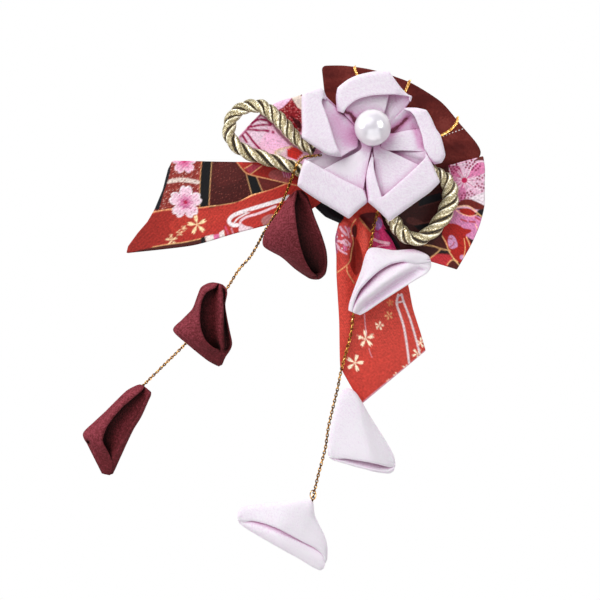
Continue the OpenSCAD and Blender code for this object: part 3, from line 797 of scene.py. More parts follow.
def raised(flat, height):
    """Points from x, y pairs and a height."""
    return np.concatenate([flat, np.broadcast_to(np.reshape(height, (-1, 1)), flat.shape[:-1] + (1,))],
                          axis=-1)


share = np.linspace(0, 1, 90)
r = along([
    [-45.2, 0.2, -14, -11],
    [-43.7, 2.5, -15, -3],
    [-37, 9.5, -15.6, 5],
    [-31.5, 13.1, -16.2, 9.5],
    [-25, 15.1, -17.4, 17.4]
], share)
fold, root = r[:, :2], r[:, 2:]
back = unit(root - fold) * 0.9
puff = 0.4 * np.sin(math.pi * share)
low, gap = 10.5, 1.5  # height of the lower layer and the step up to the upper one
sections = np.stack([
    raised(root, low), raised(blend(root, fold, 0.5), low), raised(fold + back, low),
    raised(fold, low + gap / 2), raised(fold + back, low + gap),
    raised(blend(root, fold, 0.7), low + gap + puff), raised(blend(root, fold, 0.35), low + gap),
    raised(root, low + gap)
], axis=1)
grid = through(sections, 18)
ink = Print(grid, "#FAC4E0")
ink.area([(-44, 1.8), (-36.8, 9.4), (-34.1, 6.6), (-36.8, 0.3), (-39.9, -2.3), (-43.6, -1.6)], "#F1D4E6",
         part=0.85)
ink.area([(-34.1, 4.8), (-26.9, -0.6), (-27.8, -2.3), (-32.4, -3), (-36.3, -1)], "#FFC2E6", part=0.85)
ink.area([(-34.1, 10.6), (-31.6, 13.4), (-26.5, 14.2), (-28.9, 11), (-30.1, 9.9)], "#F3C4E2")
ink.line([(-43.7, 1.7), (-41.5, 4.2), (-39.3, 6.6), (-37, 9)], 0.5, "#B04A76")
for points in ([(-40, 6.2), (-38.4, 7.3), (-36.6, 7.5), (-35, 7), (-33.6, 5.9)],
               [(-41.3, 4.9), (-39.7, 5.1), (-37.9, 5.5), (-36.1, 5.7), (-33.9, 5.6)],
               [(-41.3, 4.1), (-39, 3.9), (-36.8, 3.8), (-34.5, 3.6)],
               [(-42, 3.1), (-40.8, 1.7), (-39.9, 0.3), (-37.5, -2.3)],
               [(-43, 1.9), (-42.4, 0.8), (-41.8, -0.1)]):
    ink.line(points, 0.75, "#9C104C", part=1)
ink.dot((-33.1, 3.2), 0.55, "#B3205E")
# painted shadow: a dark red line along the cord's inner edge, where its shadow falls
ink.line([(-36.8, 9.1), (-34.5, 7.5), (-32.7, 5.6), (-31.5, 3.7), (-30, 2), (-27.9, 0), (-25.3, -2.3)], 1.1,
         "#7C1E30", part=0.75)
ink.area([(-32.6, -4.3), (-31.7, -2.6), (-30.1, -2.3), (-28.7, -2.6), (-28.3, -5), (-29.2, -6.1)], "#E9D3CC")
ink.area([(-31, -4.3), (-28.7, -2.6), (-28.1, -5), (-30.1, -5.7)], "#E6B8CC", part=0.8)
ink.line([(-32.5, -3.9), (-31.7, -2.7), (-29.8, -2.2), (-26.7, -1.5)], 0.5, "#E9C79A", part=1)
ink.panel([(-28.5, -2.6), (-26.7, -1.6), (-24.4, -2.4), (-22.9, -3.7), (-25, -6.1), (-28.1, -5)], "#CF3128")
dark_red = [(-31.4, 10.6), (-29.7, 11.5), (-26.7, 14.5), (-25.5, 13.1), (-23.6, 10.7), (-23.4, 3.5),
            (-24.7, 2.8), (-27.6, 5.7)]
ink.panel(dark_red, "#8A1D24")
ink.specks(ink.inside(dark_red), 1.3, 0.28, "#C24A4E", 41)
ink.specks(ink.inside(dark_red), 0.8, 0.1, "#E6A7A2", 43)
ink.area([(-27.7, 9.5), (-26, 7.9), (-23.6, 6.8), (-23.4, 3.9), (-24.9, 4.6)], "#2A0D10", part=0.85)
ink.panel([(-26.7, 14.5), (-23.9, 15.8), (-23.4, 16), (-22.7, 10.2), (-23.6, 10.7), (-24.9, 11.5)], "#E8DACB")
ink.panel([(-24.2, 16), (-23.4, 16.3), (-23.1, 15.3), (-23.7, 15.3)], "#7A2028")
cloth("loop_left", printed_crepe, grid, 0.6, ink.colour)

# Tail that lies to the left
# A long end of the printed crepe, its lower part folded up over the panels so that a crease runs along
# the gold line. Blossoms, bars and flowing water are printed.
grid = band_grid([
    [-4, -4.5, 9.9, -5, -11.5, 9.9, 0.1],
    [-14, -7, 9.9, -15.5, -18.8, 9.8, 0.2],
    [-22, -7.5, 9.8, -24, -24.2, 9.4, 0.3],
    [-32, -7, 9, -34, -27, 8.3, 0.3],
    [-43, -6.5, 6.8, -46, -30, 6, 0.4],
    [-55, -6, 3.6, -61, -34, 2.9, 0.3],
    [-67.5, -5.5, 1.2, -83, -36.5, 1.1, 0.2]
], 270, 110, 1)
# the cut end turns where the lower part is folded up
shift = np.interp(grid[:, :, 1], [-36.5, -34.5, -30.1, -26.3, -23, -21.5, -15.2, -11.1, -8.2],
                  [0, -0.5, 0.5, 1.9, 2.2, 2.2, 1.7, 0.7, 0])
grid[:, :, 0] += shift * (np.clip((np.linspace(0, 1, 270) - 0.8) / 0.2, 0, 1) ** 1.5)[:, None]
ink = Print(grid, "#B9322A")
# painted shade: the red darkens toward the tail's left end
ink.lay(np.clip((-58 - ink.x) / 20, 0, 1) * 0.6, "#7E2019")
# painted highlight: a lighter red band on the folded-up part just below the crease
ink.area([(-69.6, -25.7), (-58.7, -22.6), (-47.3, -20.9), (-40.9, -19.1), (-37.5, -18.5), (-37.5, -22.9),
          (-47.3, -25.3), (-58.1, -28.3), (-66.4, -31.4)], "#C43C30", part=0.6)
panels = [(-80, 0), (-10, 0), (-10, -8), (-28.5, -13.7), (-32.8, -15.5), (-36.5, -16.5), (-40.2, -17.4),
          (-45, -19.9), (-51.9, -20.8), (-57.9, -21.5), (-63.4, -22), (-68.5, -21.8), (-72.2, -22.4),
          (-74.2, -22.9), (-84, -24)]
above = ink.inside(panels, soft=False)
crease = from_line(ink.x, ink.y, panels[2:14]) * np.where(above > 0.5, 1, -1)
grid[:, :, 2] += np.where(crease > 0, -0.12 * np.exp(-crease / 1.2), 0.22 * np.exp(crease / 2.5))
grid[:, :, 2] += 0.16 * wander(grid[:, :, 0], grid[:, :, 1], 14, 7)
left = ink.inside([(-84, -24), (-72.2, -22.4), (-68.5, -21.8), (-63.4, -22), (-57.9, -21.5), (-57.9, -11),
                   (-57.2, -4), (-72, -4)], soft=False)
ink.lay(left, "#8A2C25")
ink.specks(left, 1.4, 0.22, "#B5574C", 51)
ink.specks(left, 0.8, 0.08, "#E9B8AC", 53)
bright = [(-69.9, -13.2), (-69.2, -11.8), (-66.4, -11.2), (-63.2, -11.2), (-60, -11.8), (-58, -12.3),
          (-58.1, -13.5), (-60.6, -13.1), (-64.1, -12.6), (-67, -12.8)]
ink.area(bright, "#E8D6CC")
ink.specks(ink.inside(bright), 0.9, 0.15, "#B98078", 54)
ink.petals((-63.4, -5.6), 4.5, 90, "#E986B2", "#F2B3CF", "#D85C93", "#C9286A")
dark_panel = [(-54.6, -4), (-45.6, -4.5), (-45.6, -6.3), (-42.1, -10.4), (-40.2, -17.4), (-45, -19.9),
              (-54.8, -21.6), (-54.1, -11)]
ink.panel(dark_panel, "#42100E")
ink.area([(-53.7, -5.6), (-45.6, -6), (-41.6, -11), (-47.2, -14), (-53.6, -14.5)], "#5C1B19", part=0.45)
ink.specks(ink.inside(dark_panel, False), 0.9, 0.08, "#854038", 55)
ink.panel([(-45.6, -3), (-45.6, -6.3), (-42.1, -10.3), (-36.8, -11.6), (-29.8, -13.3), (-20, -14), (-12, -6),
           (-30, -3)], "#9E241D")
ink.panel([(-45.6, -3), (-45.6, -6.3), (-42.7, -8.8), (-39.6, -6.2), (-36, -3)], "#C4332A")
ink.area([(-40.6, -10.4), (-38.1, -8.4), (-36.3, -7.5), (-33.5, -8.8), (-35.2, -11.5), (-38.1, -11.3)],
         "#A02119")
ink.panel([(-42.5, -8.4), (-40.1, -7), (-37, -7.7), (-40.6, -10.4)], "#B63D4F")
ink.gilt([(-42.7, -8.5), (-40.2, -7.1)], 0.3)
ink.gilt([(-40.7, -10.5), (-36.8, -7.7)], 0.3)
ink.area([(-35.2, -11.5), (-33.5, -8.9), (-30.1, -9.3), (-27.6, -11.4), (-27.4, -13.9), (-30.1, -13.3)],
         "#A34C4C")
striped = [(-30.3, -9.8), (-29.2, -9.2), (-26.5, -10.8), (-27.2, -12)]
ink.area(striped, "#B0305E")
for k in range(4):
    x, y = striped[0][0] + 0.4 + k * 0.85, striped[0][1] - k * 0.25
    ink.line([(x, y + 0.6), (x + 0.6, y - 1.6)], 0.3, "#D98FB4")
ink.panel([(-57.1, -4.5), (-53.8, -4.5), (-54.1, -11), (-54.9, -21), (-58.2, -21.6), (-57.9, -11)], "#09090C")
ink.gilt([(-57.3, -4), (-57.9, -10.5), (-58.1, -16.4), (-58.1, -21.6)], 0.25)
ink.gilt([(-53.8, -4), (-54.3, -11), (-54.9, -20.7)], 0.25)
ink.panel([(-42.1, -10.4), (-38.6, -11.4), (-36.5, -16.5), (-40.2, -17.4)], "#09090C")
ink.panel([(-38.6, -11.4), (-28.5, -13.7), (-36.5, -16.5)], "#64201D")
ink.gilt([(-42.1, -10.4), (-40.2, -17.4)], 0.25)
ink.gilt([(-38.6, -11.4), (-36.5, -16.5)], 0.25)
ink.panel([(-68.1, -6.6), (-69.1, -8), (-70.7, -12.4), (-72.5, -16.8), (-73.8, -22), (-72.1, -22),
           (-70.7, -16.9), (-69.5, -13.4), (-68.3, -9.3)], "#17161C")
ink.gilt([(-46.2, -4), (-45.6, -5.8), (-43.9, -8.1), (-42.1, -10.3), (-36.8, -11.6), (-29.8, -13.3),
          (-22, -15)], 0.3)
ink.gilt([(-75, -23.1), (-72.2, -22.5), (-68.5, -21.9), (-63.4, -22), (-57.9, -21.5), (-51.9, -20.8),
          (-45, -19.8), (-40.2, -17.5), (-36.5, -16.5), (-32.8, -15.4), (-28.5, -13.7)], 0.32)
ink.petals((-63, -19.5), 5.9, 88, "#F0A3C8", "#F6CEE0", "#CF5F95", "#B81F4E", edge="#FDF5F8", long=0.4)
pink_spot = ink.inside([(-68, -17), (-63, -13.5), (-57.6, -17), (-59, -24), (-66, -24)])
ink.specks(pink_spot, 0.9, 0.08, "#CC5C92", 57)
ink.line([(-59.1, -23.8), (-59.3, -25.5)], 0.3, "#E3B98C", gold=0.2)
for place, size, turn in (((-59, -27.2), 3.5, 100), ((-67.8, -32.4), 2.1, 96), ((-63.5, -28.3), 1.05, 60),
                          ((-65, -29.9), 1.2, 20)):
    ink.loose(place, size, turn)
water = "#FBF0F3"
ink.line([(-28, -18.1), (-30.1, -19.1), (-36, -20.8), (-41.4, -22.3), (-45.5, -23.6), (-47.6, -24.9),
          (-48.2, -26.4), (-46.8, -27.6), (-45.2, -27.5)], 1.3, water, part=1)
ink.line([(-41, -23.1), (-43.2, -24.1), (-45.2, -25.3), (-46.2, -26.6)], 0.55, water)
ink.line([(-32.3, -21.3), (-37.3, -23.5), (-41.9, -24.6), (-44.1, -25.9), (-44.4, -27.5), (-42.8, -29.1),
          (-40, -28.9)], 0.8, "#F6D3DC", part=1)
ink.area([(-44, -26.6), (-42.6, -27.9), (-40.3, -28.1), (-39.2, -29.6), (-43.3, -31), (-45, -29.4)],
         "#F0D4DC")
ink.area([(-38, -25.7), (-33.2, -23.3), (-30.7, -25.8), (-34.7, -29.3)], "#B07070")
ink.line([(-41.5, -22.9), (-40.3, -23.1)], 0.6, "#C23A38")
ink.line([(-49.3, -28), (-47.9, -31.5)], 0.5, "#D3587E")
ink.line([(-47.2, -28.6), (-46.2, -31.5)], 0.4, "#E9A9B9")
ink.area([(-84, -37), (-74.4, -34.9), (-69.6, -34), (-63.4, -33.1), (-57.2, -31.7), (-56, -33.3), (-70, -38)],
         "#4A1A16")
ink.gilt([(-74.4, -34.8), (-69.6, -33.9), (-63.4, -33.2), (-57.4, -31.9)], 0.35)
for corners, code in (([(-57.6, -31.6), (-56.2, -31.2), (-55.6, -35), (-57.6, -35)], "#09090C"),
                      ([(-56.2, -31.2), (-53.3, -30.6), (-53, -34), (-55.6, -34)], "#F0E6E0"),
                      ([(-53.3, -30.8), (-51.4, -30.4), (-51, -34), (-53, -34)], "#E070A0"),
                      ([(-51.3, -30), (-49.8, -29), (-49.2, -33), (-51.2, -33)], "#F2E4E2")):
    ink.panel(corners, code)
cloth("tail_left", printed_crepe, grid, BAND_WALL, ink.colour)

# Tail that lies downward
# The other end of the printed crepe, gathered where it comes out from under the petals, then flat. Loose
# blossoms and flowing water are printed on its red ground.
grid = band_grid([
    [-4, -14, 9.9, 3, -14, 9.9, 0.3, 1],
    [-18.8, -18.4, 8.7, 2.6, -18.4, 9.9, 0.3, 0.2],
    [-18.7, -21.4, 8.7, 2.5, -21.5, 9.9, 0.4, 0.2],
    [-15.3, -24.7, 9.3, 3, -24.6, 9.8, 0.6, 0.5],
    [-10.8, -26.8, 9.7, 3.8, -27.6, 9.7, 0.6, 0.15],
    [-12, -32, 9.2, 6.8, -33, 9.2, 0.5, 1],
    [-11.6, -38, 8.6, 9, -38, 8.6, 0.45, 1],
    [-11.5, -44, 7.8, 11, -43, 7.8, 0.4, 1],
    [-11, -52, 6.4, 12.6, -49.5, 6.6, 0.4, 1],
    [-10.5, -60, 5, 14, -56, 5.4, 0.4, 1],
    [-10, -75.5, 2.2, 16.5, -63.5, 3.6, 0.2, 0.3],
    [-3, -88, 0.9, 18.5, -70, 1.8, 0, 1]
], 330, 120, 2.5)
ink = Print(grid, "#D5473B")
ink.lay(np.clip((-66 - ink.y) / 20, 0, 1) * 0.5, "#BF352B")
ink.lay(np.clip((ink.y + 46) / 8, 0, 1) * 0.5, "#B02E26")
for place, size, turn in (((-1.7, -65.9), 3.2, 95), ((-5.4, -74.2), 3.1, 75), ((2.8, -61.4), 1.6, 80),
                          ((16.9, -67.2), 1.9, 85), ((15.9, -71), 2.0, 60)):
    ink.loose(place, size, turn, "#F4E5C8")
ink.loose((6, -58), 1.6, 40, "#D9A070")
ink.loose((6.5, -53.7), 1.3, 100, "#D08858")
ink.line([(-2.2, -57.5), (-1.9, -61.4), (-1.5, -64.6)], 0.35, "#EDB6C4")
ink.line([(-0.6, -69.1), (-0.1, -70.9), (0.5, -72.2)], 0.2, "#EDB6C4")
for points, width in (
        ([(9.2, -51), (8.5, -53.8), (9.9, -57.6), (11.3, -62), (12.3, -67.7), (13.1, -74.2)], 0.7),
        ([(10.2, -50.8), (10.9, -53.3), (13.1, -58.8), (14.8, -64), (16.6, -70.6)], 0.62),
        ([(8.6, -53.7), (10.8, -53.2)], 0.5), ([(9.2, -51.3), (10.4, -51)], 0.5)):
    ink.line(points, width, "#FBE4E8", part=1)
for place, size, turn in (((8.8, -78.4), 1.2, 30), ((11.9, -76), 1.4, 70), ((6.1, -80.5), 0.9, 10)):
    ink.loose(place, size, turn, "#EFD6BC")
ink.line([(-2.6, -88), (1.7, -84.3), (6.1, -80.6), (10.5, -77), (14.7, -73.7), (18.5, -70.3)], 0.8, "#EBB4C6")
ink.area([(-4.2, -26.1), (-3.1, -26.6), (-0.5, -30.2), (0, -35.8), (-2.3, -38.6), (-3.5, -42.5),
          (-4.6, -37.8), (-4.9, -32.7), (-4.6, -28.6)], "#D4463A")
ink.area([(-3.9, -28.7), (-1.8, -30.2), (-1, -34.8), (-3.1, -37.3), (-4.1, -33.2)], "#DE5548", part=0.7)
# painted shade: a dark hollow between the tips of petals 3 and 4
ink.area([(-4.7, -24), (1.8, -23), (1.8, -25.6), (0.3, -30.7), (-3.1, -26.6)], "#54161A")
ink.area([(-11.8, -29.2), (-10.6, -26.9), (-6.5, -25.8), (-5.2, -27.1), (-7, -28.6), (-6.9, -31.2),
          (-5.9, -33.2), (-6.9, -35.8), (-7.2, -40.4), (-11.5, -43.5)], "#CE443B")
ink.area([(-11.8, -29.4), (-9.8, -27.4), (-6.2, -28.6), (-6.2, -33), (-8, -36.3), (-11.6, -36.8)], "#CB4F5A",
         part=0.7)
marks = ink.inside([(-12.1, -29.4), (-9.8, -27.5), (-6.2, -28.6), (-6, -33.2), (-8, -36.3), (-11.8, -36.8)])
ink.specks(marks, 2.8, 0.16, "#DC7198", 61)
ink.line([(-11.6, -29.9), (-11.8, -32.4), (-11.6, -36.7)], 0.9, "#8E6296", part=0.55)
for points, width in (([(-10.4, -28.4), (-9.7, -29.8), (-8.7, -31)], 0.7),
                      ([(-9, -28.4), (-8.2, -29.9), (-7.9, -31.8)], 0.4),
                      ([(-11.1, -33), (-9.9, -33.3), (-8.5, -34.4)], 0.75),
                      ([(-9.1, -32.5), (-8, -33.4), (-7.6, -34.7)], 0.45),
                      ([(-11.3, -34.9), (-10.3, -36.3), (-8.6, -37.3)], 0.55),
                      ([(-11.6, -33.9), (-10.7, -35.1)], 0.5)):
    ink.line(points, width, "#F1BFD3", part=0.9)
ink.specks(marks, 1.9, 0.1, "#F3C3D6", 63)
ink.specks(marks, 1.2, 0.07, "#FDF0F4", 65)
# painted shade: a dark hollow at the top of the red fold
ink.area([(-6.7, -27.9), (-4.7, -27), (-4.6, -31.2), (-5.6, -32.5), (-6.9, -30.2)], "#4E1512")
# painted shadow along the red fold's left edge, in the groove beside the bulge
ink.area([(-6.3, -31.8), (-4.7, -31.6), (-3.2, -35.6), (-2.5, -39.6), (-3.4, -42.8), (-4.9, -44.9),
          (-6.4, -43.6), (-7.7, -40), (-7.6, -36.2), (-6.9, -33.6)], "#84201A", part=0.95)
ink.area([(1.6, -24.6), (3.8, -25.8), (5.6, -30.7), (8.1, -34.4), (9.4, -36.8), (2.9, -36.8), (0.3, -35.8),
          (0, -32.7), (0.7, -28.6)], "#C02D63")
# painted sheen: lilac on the top of the glossy magenta fold
ink.area([(1.9, -24.8), (3.4, -26.1), (3.3, -28.7), (1.8, -29.7), (1.3, -27.1)], "#A978B6")
ink.area([(0.8, -30.2), (2.3, -29.7), (3.3, -31.7), (1.8, -32.7)], "#C65A92", part=0.8)
# painted highlights: white pink streaks across the magenta fold
ink.line([(0.8, -32.5), (3.1, -33.2), (5.6, -33.8)], 0.9, "#F0C4D2", part=0.8)
ink.line([(1.8, -35), (3.3, -34.4), (5.6, -34.4)], 0.5, "#E79CB6", part=0.8)
ink.area([(3.1, -35.8), (5.9, -34.8), (9.1, -36.3), (8.5, -37.1), (3.4, -37.1)], "#D9517F", part=0.8)
ink.line([(3, -25.8), (4.9, -29.7), (7.4, -33.3)], 0.4, "#D65C88", part=0.7)
# painted shade: a black gap in the magenta fold
ink.area([(3.4, -28.7), (5.6, -29.6), (7.4, -31.5), (7.8, -34.4), (6.2, -32)], "#120E12")
ink.area([(-20, -20), (-12, -20), (-8.6, -24.4), (-11, -28.2), (-16, -27)], "#141014")
ink.gilt([(-5.3, -25.7), (-7, -27.6), (-7.5, -30.1), (-6.1, -33.1), (-7.1, -36.3), (-7.3, -40.2),
          (-11.4, -43.5)], 0.35)
ink.gilt([(-8.4, -41.6), (-8.4, -43.4), (-5.9, -47.1)], 0.35)
ink.line([(-4.1, -25.5), (-3, -27), (-0.7, -29.8)], 0.5, "#A9784E", gold=0.3)


def mound(x, y, cx, cy, wx, wy, lean=0.0):
    """Soft rise centred at cx, cy that leans sideways with y."""
    dx = x - cx - (y - cy) * lean
    return np.exp(-(dx / wx) ** 2 - ((y - cy) / wy) ** 2)


x, y = grid[:, :, 0], grid[:, :, 1]
grid[:, :, 2] += (1.7 * mound(x, y, -9.2, -33, 2.4, 10, 0.02) - 1.3 * mound(x, y, -5.3, -35, 1.4, 9, -0.03)
                  + 0.9 * mound(x, y, -1.8, -32, 1.6, 8, -0.05) + 0.5 * mound(x, y, 4.6, -32, 1.8, 7, -0.35)
                  - 0.7 * mound(x, y, 1.2, -29, 0.9, 6, -0.2) + 0.25 * wander(x, y, 16, 9))
cloth("tail_lower", printed_crepe, grid, BAND_WALL, ink.colour)

# Petals of the flower
# Five strips of pale pink crepe, each folded back on itself: a tongue under the band runs in to the
# middle, turns, runs out again as the back layer and folds over at the outline into the band.
PETAL_WALL = 0.5
FLOWER_Z = 12.2  # height of the back layers' roots
FOLD_R = 1.35  # half the height of a full fold at the outline
FOLD_IN = 0.75  # how deep a full fold is
FULL_BAND = 4  # a band this wide has its full fold
LIP_UP = 0.5  # how far a full band's free edge stands up
TUCK = 0.3  # how far the tongue's end goes under the band, as a share of the band
TURN = 1.9  # height of the turn at the root
TURN_IN = 0.7  # how deep that turn is
INNER_COLUMNS = 40  # columns of a petal's grid on the tongue and the back layer


def shaded_crepe(name, grain, shade, weights, least, *stops, **sockets):
    """Crepe with painted shade: its colour is deeper where the cloth turns in on itself, and deeper or paler
    where the attribute of painted light and shade says. shade is the reach of that turning in and its range,
    and weights are the grain's and the ribs'."""
    made, tree, shader = new_finish(name, **sockets)
    reach, low, high = shade
    # painted shade: darker where other surfaces stand near
    level = mapped(tree, hidden_share(tree, reach), low, high)
    for pattern, weight in zip(crepe_grain(tree, shader, *grain), weights):
        level = scaled(tree, pattern, weight, level)
    # painted shade where the attribute is above 0, painted light where it is below
    painted_shading = add(tree, "ShaderNodeAttribute", attribute_name="painted_shading").outputs["Fac"]
    level = scaled(tree, scaled(tree, painted_shading, -1, level), 1, least)
    feed(shader, Base_Color=ramp(tree, level, *stops))
    return made


# its colour deepens with painted shade in folds and hollows
pale_crepe = shaded_crepe(
    "pale pink crepe", (0.55, (1.5, 0.45)), (0.0046, 0.12, 0.92), (0.34, 0.36), -0.4,
    (0.0, "#6E2F44"), (0.09, "#C27AA4"), (0.3, "#DA9CC6"), (0.55, "#E4B6D8"), (0.78, "#ECD3E9"),
    (0.92, "#F5E3F6"), (1.0, "#FAEDFB"), Roughness=0.7, Specular_IOR_Level=0.1, Sheen_Weight=0.1,
    Sheen_Roughness=0.4, Subsurface_Weight=0.3, Subsurface_Scale=0.002, Subsurface_Radius=(1, 0.6, 0.85))


def petal_grid(table, root, tongue_root, tongue, stations=96, per=6):
    """Sections of a flower petal. Each row of the table is the fold, its height, the band's free edge and
    how round both turn there. root gives both ends of the back layer's root, tongue_root those of the
    tongue's, and tongue the share of the table's rows where the tongue starts and ends."""
    table = np.array(table, float)
    rows, soft = table[:, :5], table[:, 5]
    t = np.linspace(0, 1, stations)
    r = along(rows, t, soft)
    lip, z = r[:, 3:5], r[:, 2]
    fold = r[:, :2] + unit(lip - r[:, :2]) * PETAL_WALL / 2
    band = np.linalg.norm(lip - fold, axis=1)
    bend = FOLD_R * np.clip(0.25 + band / FULL_BAND, 0, 1)
    lift = LIP_UP * np.clip(band / FULL_BAND, 0, 1)
    root, under = [blend(*np.array(ends), t[:, None]) for ends in (root, tongue_root)]
    inward = unit(root - fold) * TURN_IN
    back = unit(lip - fold) * np.minimum(FOLD_IN, band * 0.45)[:, None]
    u = along(rows, blend(tongue[0], tongue[1], t), soft)
    tip = blend(u[:, 3:5], u[:, :2], TUCK)
    half, rim = blend(under, tip, 0.5), blend(fold, lip, 0.5)
    top = z + bend
    return through(np.stack([
        raised(tip, u[:, 2] - 0.1), raised(half, blend(FLOWER_Z + TURN, u[:, 2], 0.5) + 0.3),
        raised(under, FLOWER_Z + TURN), raised(root + inward, FLOWER_Z + TURN / 2), raised(root, FLOWER_Z),
        raised(blend(root, fold, 0.5), blend(FLOWER_Z, z - bend, 0.5)), raised(fold + back, z - bend),
        raised(fold, z), raised(fold + back, top), raised(rim, top + lift * 0.7), raised(lip, top + lift)
    ], axis=1), per)


for name, table, root, tongue_root, tongue, strokes in (
    ("petal_1", [
        [-11.8, 9.8, 17, -9.8, 9, 1],
        [-12.1, 14.3, 17.2, -8.9, 10.6, 1],
        [-11.5, 17.5, 17.2, -7.6, 11.8, 0.4],
        [-8.2, 20.1, 17.2, -5.6, 13.2, 1],
        [-4.5, 21.7, 17.2, -3.2, 14.1, 1],
        [0.8, 22.8, 17.2, 0.2, 14.8, 1],
        [5.3, 22.7, 17.2, 3.8, 15, 0.3],
        [8.7, 18.2, 17.2, 7.1, 15.05, 1],
        [11.4, 15.3, 17.2, 10.2, 14.8, 1],
        [13, 14.4, 17.1, 12, 14.4, 0.3],
        [12.6, 12.8, 16.8, 12.1, 13.2, 1]
    ], [(-5.4, 4.5), (6, 4.4)], [(-5.2, 4.6), (3.4, 6.6)], (0.03, 0.645),
     [([(-10.2, 9.7), (-7.3, 8.9), (-5.9, 6.8)], 0.9, 1), ([(6.8, 3.6), (9.8, 6), (11.6, 7.8)], 1.3, 1),
      ([(-1, 11), (4, 12)], 3, -0.2), ([(7, 13), (8, 14)], 2.5, 0.2)]),
    ("petal_2", [
        [10.4, 10.9, 16.4, 10.6, 10.3, 1],
        [14.5, 10.7, 17, 12.6, 9.3, 1],
        [17.8, 9.9, 17.2, 13.9, 7.6, 0.3],
        [19.4, 7.3, 17.2, 14.7, 5.9, 1],
        [20.9, 3.8, 17.4, 15.6, 3.4, 1],
        [22.4, 1.5, 17.6, 16.3, 1.2, 0.8],
        [23.3, -1.8, 17.9, 16.7, -1.2, 1],
        [23.9, -5.2, 18.1, 17.1, -3.2, 0.6],
        [22.8, -7.4, 18.1, 18, -4.6, 0.5],
        [20.4, -8, 18, 18.8, -6.6, 1]
    ], [(5.2, 5.2), (4.6, -1.4)], [(5.4, 2.6), (2.6, -2.6)], (0.43, 0.78),
     [([(6.8, 3.6), (9.8, 6), (11.6, 7.8)], 1.3, 1), ([(13.6, 5.5), (14.8, 1.5), (15.9, -2)], 1.1, 0.5)]),
    ("petal_3", [
        [17.7, -3.2, 18.4, 17.3, -3.9, 1],
        [18.9, -6.6, 19, 17.3, -5.9, 1],
        [20.2, -9.8, 19, 16, -7.6, 1],
        [22, -14, 19, 13.2, -10.3, 0.15],
        [18.9, -17.2, 18.8, 11.2, -12.2, 1],
        [15, -20, 18.6, 9, -14.1, 1],
        [10.6, -23.2, 18.4, 6.6, -16.2, 1],
        [5.5, -26.9, 18.2, 3.5, -18.8, 0.12],
        [2.6, -24.1, 18.2, 3, -19, 0.6],
        [-1.7, -20.4, 18, 2.7, -18.9, 0.2],
        [-2.1, -16.4, 17.8, 1.9, -16.3, 1],
        [-2.2, -12.1, 17.6, 0.7, -12.3, 1],
        [-1.6, -8.9, 17.2, 0.1, -8.6, 1],
        [-0.6, -5.6, 16.6, 0.1, -5.6, 1]
    ], [(3.6, -1.2), (0.4, -2.2)], [(2.4, -1.8), (0.5, -2.4)], (0.18, 0.72), []),
    ("petal_4", [
        [-2.5, -17, 17.2, -2.9, -16.7, 1],
        [-1.9, -20.6, 17.4, -3.9, -16.3, 0.3],
        [-4.7, -22.9, 17.4, -5, -15.7, 1],
        [-8, -25.9, 17.6, -6.6, -15, 0.12],
        [-12.5, -23.2, 17.6, -9.8, -13.5, 1],
        [-17.8, -20.1, 17.8, -13.6, -11.4, 1],
        [-22.2, -17.2, 18, -17, -9.6, 1],
        [-24.8, -15.2, 18.2, -18.6, -8.7, 0.25],
        [-24.4, -12.6, 18.3, -19.8, -8, 1],
        [-23.5, -9.4, 18.3, -21, -7.3, 1],
        [-22.5, -6.3, 18.1, -21.9, -6.9, 1]
    ], [(-0.2, -2.7), (-5.6, 1.4)], [(-0.4, -2.2), (-3.4, -2.2)], (0.12, 0.62),
     [([(-22, -5.6), (-17, -5.9), (-12.5, -6.8), (-9, -7.2), (-6.5, -5.5)], 2.7, -0.55)]),
    ("petal_5", [
        [-10.3, -5.7, 19.3, -10.5, -5.2, 1],
        [-15.1, -4.9, 19.6, -11.5, -3.9, 1],
        [-19.6, -2.1, 19.6, -12.2, -2.4, 1],
        [-23.5, 0.8, 19.6, -13, -0.3, 0.3],
        [-23.3, 4, 19.4, -14, 3, 1],
        [-23.5, 9, 19, -15.2, 6.9, 1],
        [-23.5, 14.4, 18.4, -16.4, 10.2, 0.8],
        [-22.4, 15.8, 18, -16.9, 11.6, 0.5],
        [-17.8, 17.2, 17.8, -17, 13, 1],
        [-16.4, 16.6, 17.6, -16.6, 13.6, 0.4],
        [-15.3, 14.2, 17.4, -15.7, 13.3, 1]
    ], [(-5.6, -1.6), (-5.6, 5)], [(-5, -1.8), (-5.6, 5.2)], (0, 1),
     [([(-10.2, 9.7), (-7.3, 8.9), (-5.9, 6.8)], 0.9, 1), ([(-12.2, 6.5), (-10.5, 3), (-8.5, 0)], 3.2, 0.42)])
):
    grid = petal_grid(table, root, tongue_root, tongue)
    # strokes of painted shade in the hollows of the inner layers, and of painted light where they lie open
    shade_paint = np.zeros(grid.shape[:2])
    for points, wide, much in strokes:
        shade_paint += much * np.exp(-(from_line(grid[:, :, 0], grid[:, :, 1], points) / wide) ** 2)
    shade_paint[:, INNER_COLUMNS:] = 0
    cloth(name, pale_crepe, grid, PETAL_WALL, np.repeat(shade_paint[:, :, None], 4, axis=2), "painted_shading")

# Pearl
# A 12 mm glass bead with a pearl coating, drilled through sideways. It is sewn on in the flower's middle,
# over the petals' ends.
pearl_lustre, tree, shader = new_finish("glass bead pearl coated", Roughness=0.3, IOR=1.5, Coat_Weight=1.0,
                                        Coat_Roughness=0.18, Subsurface_Weight=1.0, Subsurface_Scale=0.004,
                                        Subsurface_Radius=(1, 1, 1))
place = object_place(tree)
cloud = noise(tree, place, 190, 2)
